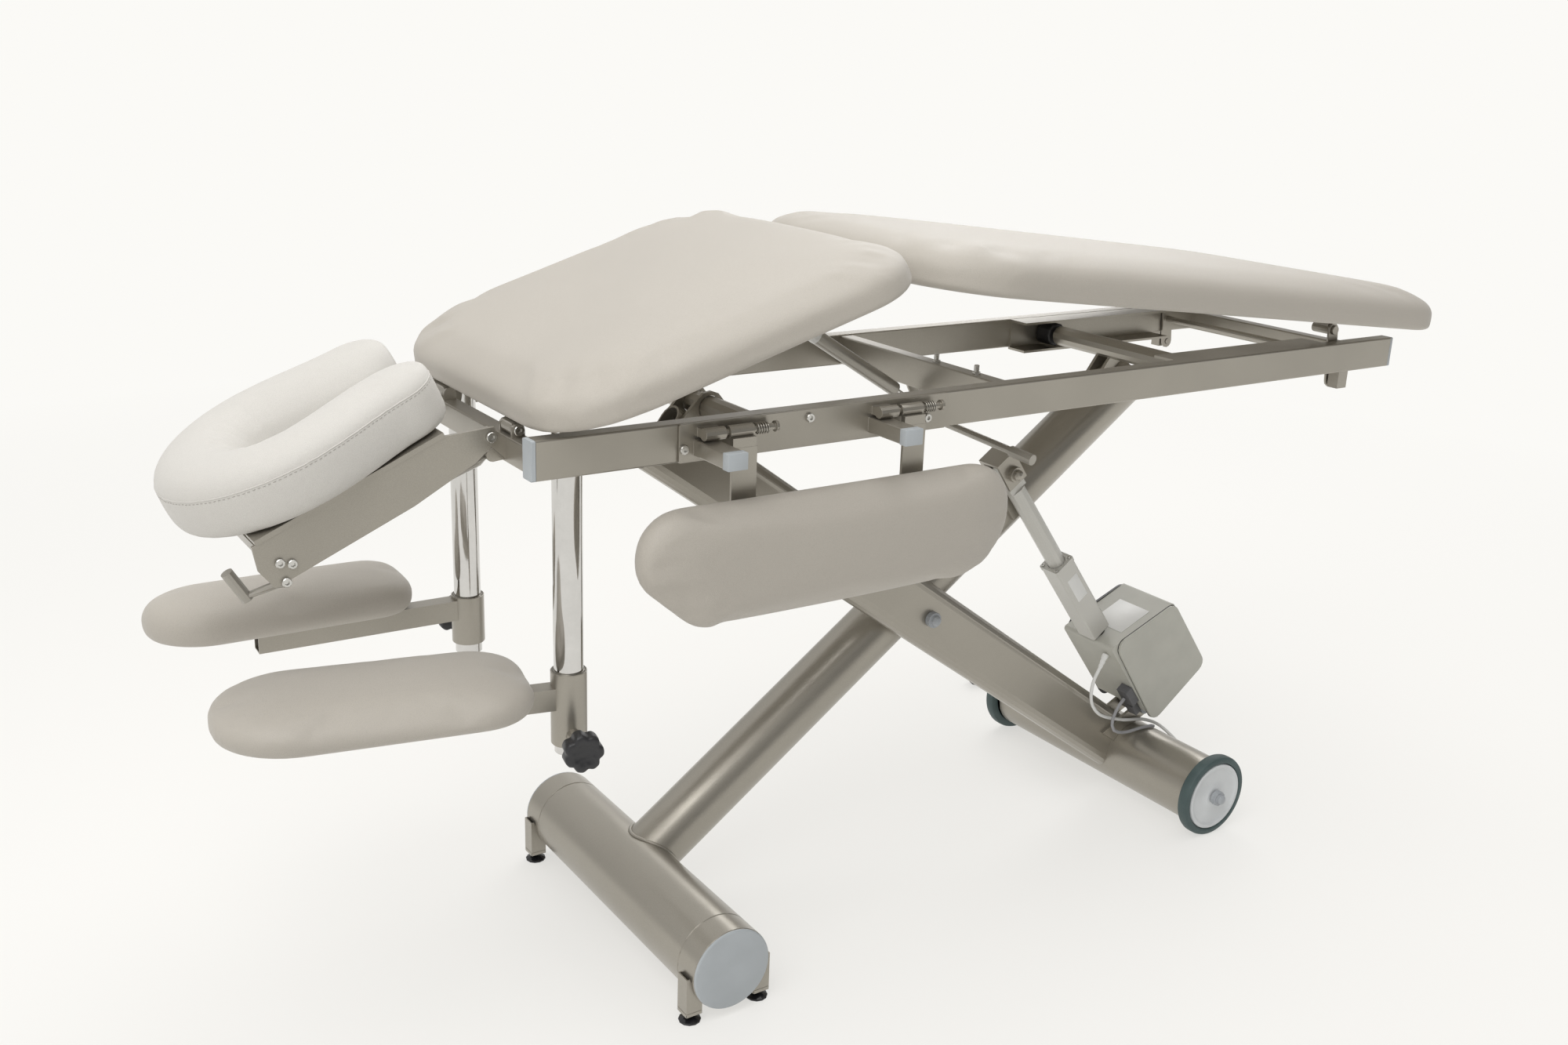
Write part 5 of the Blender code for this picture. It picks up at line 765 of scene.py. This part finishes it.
# Arm rest posts by side: foot of the post, collar's low and high ends, knob's level
POST_LEVELS = {-1: (0.410, 0.423, 0.524, 0.4405), 1: (0.430, 0.446, 0.518, 0.4635)}
POST_TOP, POST_SKIN, COLLAR_R = 0.8430, 0.0001, 0.0235


def arm_frame(side):
    """The frame of an arm rest: Z up its post, turned as in the photo."""
    post = Matrix.Translation((POST_X, side * POST_Y, 0))
    return SHIFT @ post @ Matrix.Rotation(ARM_SWING[side], 4, "Z")


def add_posts():
    for side, tag in SIDES:
        foot, low, high, level = POST_LEVELS[side]
        radius, top = POST_R + POST_SKIN, POST_TOP - foot
        post = turned([(0, 0.0180), (0.001, radius), (top - 0.0005, radius), (top, 0.0180)],
                      (POST_X, side * POST_Y, foot), (0, 0, 1), 64)
        settle(post, "post_" + tag, "top_frame", "chrome")
        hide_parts("arm_post_" + tag)
        length, end = high - low, COLLAR_R - 0.002
        ends = (0, end), (0.0008, COLLAR_R), (length - 0.0008, COLLAR_R), (length, end)
        collar = turned(ends, (POST_X, side * POST_Y, low), (0, 0, 1), 64)
        settle(collar, "collar_" + tag, "arm_rest_" + tag, "frame_paint")
        knob = knob_shape(side, level)
        settle(knob, "clamp_knob_" + tag, "knob_" + tag, "black_plastic", arm_frame(side), KNOB_SMOOTH)
        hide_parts("knob_" + tag)


KNOB_R, KNOB_LOBES, KNOB_SMOOTH = 0.0225, 7, 50
KNOB_STEM = ((0, 0.0078), (0.0140, 0.0078), (0.0145, 0.0075))
KNOB_STEPS = ((0.0025, 1.10), (0.012, 1.0), (0.0055, 0.97), (0.0018, 0.90), (0.0002, 0.72), (-0.0022, 0.82))


def knob_shape(side, level):
    """A seven-lobed clamping knob with a dished face."""
    clear()
    bpy.ops.mesh.primitive_circle_add(vertices=84, radius=KNOB_R, fill_type="NGON")
    knob = bpy.context.object
    for v in knob.data.vertices:
        turn = atan2(v.co.y, v.co.x)
        v.co *= 1 + 0.075 * cos(KNOB_LOBES * turn) - 0.02 * cos(2 * KNOB_LOBES * turn)
    bpy.ops.object.mode_set(mode="EDIT")
    bpy.ops.mesh.select_mode(type="FACE")
    bpy.ops.mesh.select_all(action="SELECT")
    level_now = 0.0
    for depth, share in KNOB_STEPS:
        bpy.ops.mesh.extrude_region_move(TRANSFORM_OT_translate={"value": (0, 0, depth)})
        level_now += depth
        bpy.ops.transform.resize(value=(share, share, 1), center_override=(0, 0, level_now))
    bpy.ops.mesh.select_all(action="SELECT")
    bpy.ops.mesh.normals_make_consistent(inside=False)
    bpy.ops.object.mode_set(mode="OBJECT")
    turn = aim((0, side, 0)).to_matrix().to_4x4()
    knob.data.transform(Matrix.Translation((0, side * 0.0585, level)) @ turn)
    stem = turned(KNOB_STEM, (0, side * 0.0453, level), (0, side, 0), 32)
    return joined([knob, stem])


# Fasteners

def socket_screw(start, direction, radius=0.0062, height=0.005):
    """A cap screw's head with its hexagon socket."""
    head = turned([(0, radius), (height - 0.0008, radius), (height, radius - 0.0008)], start, direction, 28)
    socket = turned([(0, radius * 0.52), (height * 0.6, radius * 0.52)],
                    Vector(start) + Vector(direction).normalized() * height * 0.5, direction, 6)
    cut = head.modifiers.new("socket", "BOOLEAN")
    cut.operation = "DIFFERENCE"
    cut.object = socket
    cut.solver = "EXACT"
    bpy.context.view_layer.objects.active = head
    bpy.ops.object.modifier_apply(modifier=cut.name)
    bpy.data.objects.remove(socket)
    return head


def screws(name, body, place, spots, radius=0.0062, height=0.005):
    parts = [socket_screw(start, direction, radius, height) for start, direction in spots]
    made = joined(parts)
    return settle(made, name, body, "steel", place, 40)


WING_PLATE_Y, WING_PLATE_SCREWS = -0.2200, ((0.197, 0.812), (0.386, 0.833), (0.583, 0.812))
HEAD_PLATE_Y, HEAD_PLATE_SCREWS = 0.1255, ((-0.279, 0.711), (-0.265, 0.708), (-0.273, 0.687))
HINGE_SCREWS = ((0.0165, 0.1290, 0.8358), (-0.018, 0.1262, 0.8305))
STUD = ((0, 0.0040), (0.013, 0.0040), (0.014, 0.0033))
STUD_NUT = ((0, 0.0062), (0.0035, 0.0062), (0.004, 0.0056))
STUD_X, STUD_Z, STUDS_Y = 0.7425, 0.8415, (-0.042, -0.135)


def add_fasteners():
    spots = [((x, WING_PLATE_Y, z), (0, -1, 0)) for x, z in WING_PLATE_SCREWS]
    screws("wing_plate_screws", "top_frame", SHIFT, spots)
    for side, tag in SIDES:
        out = (0, side, 0)
        spots = [((x, side * HEAD_PLATE_Y, z), out) for x, z in HEAD_PLATE_SCREWS]
        screws("head_plate_screws_" + tag, "head_section", SHIFT, spots, 0.0058, 0.0045)
        spots = [((x, side * y, z), out) for x, y, z in HINGE_SCREWS]
        screws("chest_hinge_screws_" + tag, "top_frame", SHIFT, spots, 0.0068, 0.005)
    studs = []
    for y in STUDS_Y:
        studs.append(turned(STUD, (STUD_X, y, STUD_Z), (0, 0, 1), 20))
        studs.append(turned(STUD_NUT, (STUD_X, y, STUD_Z), (0, 0, 1), 6))
    settle(joined(studs), "crossbar_studs", "top_frame", "steel", smooth=30)


# Torsion springs of the wing: start, length, place across and up, radius, wire and turns
WING_STEP = 0.271
WING_SPRING_X, WING_SPRING_LENGTH, WING_SPRING_Y, WING_SPRING_Z = 0.2925, 0.0185, -0.236, 0.832
WING_SPRING_R, WING_SPRING_WIRE, WING_SPRING_TURNS, TURN_STEPS = 0.0068, 0.0011, 5, 20


def add_wing_springs():
    """A torsion spring on each hinge pin."""
    count = WING_SPRING_TURNS * TURN_STEPS
    for k in range(2):
        start = WING_SPRING_X + WING_STEP * k
        coil = []
        for i in range(count + 1):
            turn = 2 * pi * i / TURN_STEPS
            coil.append((start + WING_SPRING_LENGTH * i / count, WING_SPRING_Y + WING_SPRING_R * cos(turn),
                         WING_SPRING_Z + WING_SPRING_R * sin(turn)))
        made = wire(coil, WING_SPRING_WIRE, resolution=2)
        settle(made, f"wing_spring_{k + 1}", "top_frame", "steel", smooth=SOFT_SMOOTH, look=BLACK_SPRING)


def upright_frame(start, end, y):
    """A frame along a line in an upright plane: X along it."""
    turn = atan2(end[1] - start[1], end[0] - start[0])
    return SHIFT @ Matrix.Translation((start[0], y, start[1])) @ Matrix.Rotation(-turn, 4, "Y")


# Gas springs: tag, ends, level across, radius, tube's start and end, blank label's start and end
GAS_SPRINGS = (
    ("head", (-0.010, 0.803), (-0.2278, 0.7239), -0.100, 0.0092, 0.0150, 0.1402, 0.094, 0.128),
    ("chest", (0.4406, 0.9538), (0.775, 0.748), 0.0, 0.0112, 0.0160, 0.3028, 0.040, 0.125),
)
LABEL_PROUD = 0.0003


def add_gas_springs():
    for tag, start, end, y, radius, low, high, first, last in GAS_SPRINGS:
        place = upright_frame(start, end, y)
        length = high - low
        skin = turned([(0, radius * 0.6), (0.006, radius), (length - 0.003, radius), (length, radius * 0.8)],
                      (low, 0, 0), (1, 0, 0), 40)
        settle(skin, tag + "_spring_tube", tag + "_spring", "actuator_grey", place, look=SPRING_TUBE)
        length, proud = last - first, radius + LABEL_PROUD
        band = turned([(0, radius), (0.0002, proud), (length - 0.0002, proud), (length, radius)],
                      (first, 0, 0), (1, 0, 0), 40)
        settle(band, tag + "_spring_label", tag + "_spring", "actuator_grey", place, look=LABEL)


LEG_HALF_SPREAD, LEG_Y, PLUG_HALF, PLUG_LOW, PLUG_HIGH = 0.055, 0.2517, 0.0127, 0.0128, 0.0182
STUB_X, STUB_Z, STUB_WIDE, STUB_TALL, STUB_OUT, STUB_IN = 0.226, 0.8123, 0.0144, 0.0109, -0.3030, -0.2895


def add_small_caps():
    """Leg plugs and the caps of the wing's stop stubs."""
    for side, tag in SIDES:
        plugs = []
        for way in (-1, 1):
            x, y = FOOT_X + way * LEG_HALF_SPREAD, side * LEG_Y
            plugs.append(box((x - PLUG_HALF, y - PLUG_HALF, PLUG_LOW),
                             (x + PLUG_HALF, y + PLUG_HALF, PLUG_HIGH)))
        settle(joined(plugs), "leg_plugs_" + tag, "base", "black_plastic", bevel=0.0008)
    caps = []
    for k in range(2):
        x = STUB_X + k * WING_STEP
        caps.append(box((x - STUB_WIDE, STUB_OUT, STUB_Z - STUB_TALL),
                        (x + STUB_WIDE, STUB_IN, STUB_Z + STUB_TALL)))
    settle(joined(caps), "stop_caps", "top_frame", "cap_plastic", bevel=0.001)


# Mains lead: from the control box down to the floor, along it and into a three-turn coil

LEAD_ROUTE = (
    (1.138, -0.0757, 0.2848), (1.127, -0.0773, 0.2674), (1.117, -0.0789, 0.2537), (1.112, -0.0799, 0.2381),
    (1.112, -0.0799, 0.2216), (1.117, -0.0791, 0.206), (1.127, -0.0779, 0.1924), (1.139, -0.0764, 0.1813),
    (1.153, -0.0746, 0.1725), (1.168, -0.0728, 0.1656), (1.183, -0.0712, 0.1597), (1.199, -0.07, 0.1542),
    (1.214, -0.0691, 0.1492), (1.23, -0.0681, 0.1453), (1.247, -0.0675, 0.1423), (1.263, -0.0686, 0.139),
    (1.278, -0.0728, 0.1345), (1.291, -0.081, 0.1283), (1.299, -0.0928, 0.1203), (1.305, -0.1054, 0.1109),
    (1.311, -0.117, 0.1), (1.315, -0.1279, 0.0881), (1.317, -0.1385, 0.0755), (1.318, -0.1484, 0.0623),
    (1.3185, -0.1572, 0.0483), (1.319, -0.1647, 0.0336), (1.320, -0.1709, 0.0184), (1.329, -0.1708, 0.0065),
    (1.343, -0.163, 0.0034), (1.364, -0.1373, 0.0035), (1.383, -0.11, 0.0035), (1.399, -0.0816, 0.0034),
    (1.413, -0.0516, 0.0034), (1.425, -0.0205, 0.0034), (1.435, 0.0109, 0.0034), (1.444, 0.0428, 0.0034),
    (1.451, 0.0751, 0.0034), (1.456, 0.1078, 0.0034), (1.46, 0.1406, 0.0034), (1.463, 0.1736, 0.0034),
    (1.464, 0.2067, 0.0034), (1.464, 0.2398, 0.0034), (1.463, 0.2729, 0.0034), (1.462, 0.306, 0.0034),
    (1.461, 0.339, 0.0034), (1.4580, 0.370, 0.0034))
LEAD_R = 0.003
COIL_X, COIL_Y, COIL_PITCH, COIL_OUTER, COIL_LOW, COIL_HIGH = 1.41, 0.40, 0.0063, 0.0459, 0.0034, 0.0099
COIL_STEPS = 36
COIL_DOWN, COIL_BACK = 3, 2.75
LEAD_TAIL = ((1.390, 0.4446, 0.0112), (1.370, 0.4449, 0.0160), (1.3565, 0.445, 0.0188), (1.3453, 0.445, 0.0193))


def coil_point(turn, reach, level):
    return Vector((COIL_X + reach * cos(turn), COIL_Y + reach * sin(turn), level))


def lead_points():
    """The lead's centre line: its route, in and up through the coil's two layers, and the plug."""
    points = list(flowing(LEAD_ROUTE, 3))
    for k in range(COIL_DOWN * COIL_STEPS):
        turn, reach = 2 * pi * k / COIL_STEPS, COIL_OUTER - COIL_PITCH * k / COIL_STEPS
        points.append(coil_point(turn, reach, COIL_LOW))
    inner = COIL_OUTER - COIL_DOWN * COIL_PITCH
    half = COIL_STEPS // 2
    for k in range(half):
        turn, share = 2 * pi * k / COIL_STEPS, k / half
        level = COIL_LOW + (COIL_HIGH - COIL_LOW) * share * share * (3 - 2 * share)
        points.append(coil_point(turn, inner, level))
    for k in range(int(COIL_BACK * COIL_STEPS) + 1):
        turn, reach = pi + 2 * pi * k / COIL_STEPS, inner + COIL_PITCH * k / COIL_STEPS
        points.append(coil_point(turn, reach, COIL_HIGH))
    return points + [Vector(p) for p in LEAD_TAIL]


# Cable boot: distance along and radius, from its start before the box's face
BOOT = ((0, 0.0056), (0.004, 0.0058), (0.010, 0.0050), (0.0102, 0.0042), (0.0120, 0.0042), (0.0122, 0.0047),
        (0.018, 0.0042), (0.0182, 0.0036), (0.0200, 0.0036), (0.0202, 0.0041), (0.026, 0.0036))
BOOT_BACK = 0.010


def add_mains_lead():
    points = lead_points()
    cable = settle(wire(points, LEAD_R), "mains_cable", "actuator", "cord_white", smooth=SOFT_SMOOTH)
    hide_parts("mains_lead", "lead_coil")
    down = (Vector(LEAD_ROUTE[1]) - Vector(LEAD_ROUTE[0])).normalized()
    boot = turned(BOOT, Vector(LEAD_ROUTE[0]) - down * BOOT_BACK, down, 32)
    settle(boot, "lead_boot", "actuator", "cord_white", smooth=30)
    path = [tuple(SHIFT @ p) for p in points]
    length = sum((b - a).length for a, b in zip(points, points[1:]))


# Actuator: X along it from the lower pin, control box covers, blank labels and the tube cap's screws

ACTUATOR_FRAME = (SHIFT @ Matrix.Translation((1.272, 0, 0.160))
                  @ Matrix.Rotation(-atan2(0.489, -0.368), 4, "Y"))
HOUSING_SIDES = ((0.0026, -0.1314), (0.1694, -0.1314), (0.2094, 0.0122), (0.0026, 0.0214))
ACT_Y, ACT_SIDE, HOUSING_DEPTH = -0.0385, 0.021, 0.0597
JOINT_OUT, JOINT_HALF, COVER_ROUND = 0.00015, 0.0007, 0.018
CAP_FACE, CAP_SCREW = 0.3905, 0.0165


def flat_plate(outline, low, high):
    """A plate over an outline in X and Z, from one level across to another."""
    clear()
    data = bpy.data.curves.new("plate", "CURVE")
    data.dimensions = "2D"
    data.fill_mode = "BOTH"
    data.extrude = (high - low) / 2
    line = data.splines.new("POLY")
    line.points.add(len(outline) - 1)
    for target, (u, v) in zip(line.points, outline):
        target.co = (u, v, 0, 1)
    line.use_cyclic_u = True
    thing = linked("plate", data)
    thing.select_set(True)
    bpy.context.view_layer.objects.active = thing
    bpy.ops.object.convert(target="MESH")
    thing = bpy.context.object
    thing.data.transform(Matrix.Translation((0, (low + high) / 2, 0)) @ Matrix.Rotation(pi / 2, 4, "X"))
    return thing


def add_actuator_details():
    """Joint lines of the control box's covers, blank labels and the tube cap's screws."""
    for side, tag in SIDES:
        joint = ACT_Y + side * (HOUSING_DEPTH + JOINT_OUT)
        line = flat_plate(rounded(HOUSING_SIDES, (COVER_ROUND,) * 4), joint - JOINT_HALF, joint + JOINT_HALF)
        settle(line, "cover_joint_" + tag, "actuator", "black_plastic", ACTUATOR_FRAME)
    face = ACT_Y - ACT_SIDE
    label = box((0.305, face - 0.0003, -0.012), (0.358, face + 0.0005, 0.011))
    settle(label, "tube_label", "actuator", "actuator_grey", ACTUATOR_FRAME, bevel=0.0001, look=LABEL)
    slope = atan2(0.040, 0.152)
    place = ACTUATOR_FRAME @ Matrix.Translation((0.1887, ACT_Y, -0.056)) @ Matrix.Rotation(slope, 4, "Y")
    label = box((-0.0005, -0.042, -0.036), (0.0006, 0.030, 0.036))
    settle(label, "box_label", "actuator", "actuator_grey", place, bevel=0.0001, look=LABEL)
    spots = [((CAP_FACE, ACT_Y + a * CAP_SCREW, b * CAP_SCREW), (1, 0, 0)) for a in (-1, 1) for b in (-1, 1)]
    screws("tube_cap_screws", "actuator", ACTUATOR_FRAME, spots, 0.0030, 0.0016)


# The frame's solids that don't look like their slot
NODE_LOOKS = {
    "housing_cover_near": LOOKS["housing_green_grey"], "head_spring": SPRING_TUBE, "chest_spring": SPRING_TUBE,
    "head_lever": SPRING_TUBE, "chest_lever": SPRING_TUBE, "scissor_bolt": NUT_CAP, "actuator_pin": NUT_CAP,
    "wheel_axle_near": NUT_CAP, "wheel_axle_far": NUT_CAP}
NODE_WELD, NODE_EDGE, NODE_EDGE_ANGLE = 0.00001, 0.0007, 35


def dress_nodes():
    """Gives the frame's own solids their looks, eased edges and shading."""
    slots = {part["node"]: part["material_slot"] for part in frame["record"]["subparts"]}
    for name, node in frame["nodes"].items():
        node.data.materials.clear()
        node.data.materials.append(NODE_LOOKS.get(name) or LOOKS[slots[name]])
        if node.hide_render:
            continue
        weld = node.modifiers.new("weld", "WELD")
        weld.merge_threshold = NODE_WELD
        edges = node.modifiers.new("edges", "BEVEL")
        edges.width = NODE_EDGE
        edges.segments = 2
        edges.limit_method = "ANGLE"
        edges.angle_limit = radians(NODE_EDGE_ANGLE)
        edges.harden_normals = True


# Studio

BACKDROP = (0.965, 0.955, 0.925, 1)
FLOOR_COLOUR = (0.82, 0.81, 0.785, 1)
SKY_COLOUR = (1.0, 0.99, 0.975, 1)
TOWARDS_CAMERA = (0.60, -0.80, 0.0)
# Name, place, size and power of each light; all point at the middle of the table
LIGHTS = (("key", (-2.2, -1.4, 3.2), 2.6, 52), ("rim", (2.6, 2.4, 2.8), 2.4, 38),
          ("top", (0.2, 0.3, 3.6), 3.0, 32))


def area_light(name, place, size, energy):
    data = bpy.data.lights.new(name, "AREA")
    data.shape = "DISK"
    data.size = size
    data.energy = energy
    light = linked(name, data)
    towards = (Vector((0, 0, 0.5)) - Vector(place)).to_track_quat("-Z", "Y")
    light.matrix_world = Matrix.Translation(place) @ towards.to_matrix().to_4x4()


def map_range(tree, *values):
    """A range node: low and high in, low and high out."""
    made = tree.nodes.new("ShaderNodeMapRange")
    for socket, value in zip(made.inputs[1:5], values):
        socket.default_value = value
    return made


def add_world():
    """A pale backdrop for the camera and a soft sky with a darker side for the reflections."""
    world = bpy.data.worlds.new("studio")
    bpy.context.scene.world = world
    world.use_nodes = True
    tree = world.node_tree
    tree.nodes.clear()
    add, link = tree.nodes.new, tree.links.new
    output, mix, path = add("ShaderNodeOutputWorld"), add("ShaderNodeMixShader"), add("ShaderNodeLightPath")
    seen, lit = add("ShaderNodeBackground"), add("ShaderNodeBackground")
    seen.inputs[0].default_value = BACKDROP
    seen.inputs[1].default_value = 1.0
    place, parts = add("ShaderNodeTexCoord"), add("ShaderNodeSeparateXYZ")
    side = add("ShaderNodeVectorMath")
    side.operation = "DOT_PRODUCT"
    side.inputs[1].default_value = TOWARDS_CAMERA
    shade = map_range(tree, 0.25, 0.85, 0.92, 0.30)
    height = map_range(tree, -0.2, 0.9, 0.45, 1.0)
    strength = add("ShaderNodeMath")
    strength.operation = "MULTIPLY"
    link(place.outputs["Generated"], parts.inputs[0])
    link(place.outputs["Generated"], side.inputs[0])
    link(side.outputs["Value"], shade.inputs[0])
    link(parts.outputs[2], height.inputs[0])
    link(shade.outputs[0], strength.inputs[0])
    link(height.outputs[0], strength.inputs[1])
    lit.inputs[0].default_value = SKY_COLOUR
    link(strength.outputs[0], lit.inputs[1])
    link(path.outputs["Is Camera Ray"], mix.inputs[0])
    link(lit.outputs[0], mix.inputs[1])
    link(seen.outputs[0], mix.inputs[2])
    link(mix.outputs[0], output.inputs[0])


def add_studio():
    """World, lights and a floor that fades into the backdrop."""
    bpy.context.scene.view_settings.view_transform = "Standard"
    add_world()
    for light in LIGHTS:
        area_light(*light)
    clear()
    bpy.ops.mesh.primitive_plane_add(size=60)
    floor = bpy.context.object
    floor.name = "floor"
    floor.data.name = "floor"
    look = bpy.data.materials.new("pale_floor")
    look.use_nodes = True
    tree = look.node_tree
    glow, blend = tree.nodes.new("ShaderNodeEmission"), tree.nodes.new("ShaderNodeMixShader")
    diffuse = tree.nodes.new("ShaderNodeBsdfDiffuse")
    diffuse.inputs[0].default_value = FLOOR_COLOUR
    glow.inputs[0].default_value = BACKDROP
    glow.inputs[1].default_value = 1.0
    spot, reach = tree.nodes.new("ShaderNodeTexCoord"), tree.nodes.new("ShaderNodeVectorMath")
    reach.operation = "LENGTH"
    fade = map_range(tree, 1.2, 4.0, 0.62, 1.0)
    tree.links.new(spot.outputs["Object"], reach.inputs[0])
    tree.links.new(reach.outputs["Value"], fade.inputs[0])
    tree.links.new(fade.outputs[0], blend.inputs[0])
    tree.links.new(diffuse.outputs[0], blend.inputs[1])
    tree.links.new(glow.outputs[0], blend.inputs[2])
    tree.links.new(blend.outputs[0], tree.nodes["Material Output"].inputs[0])
    floor.data.materials.append(look)


add_camera()
add_mains_lead()
add_pads()
add_face_cushion()
add_lift()
add_wheels()
add_posts()
add_fasteners()
add_wing_springs()
add_gas_springs()
add_small_caps()
add_actuator_details()
dress_nodes()
add_studio()
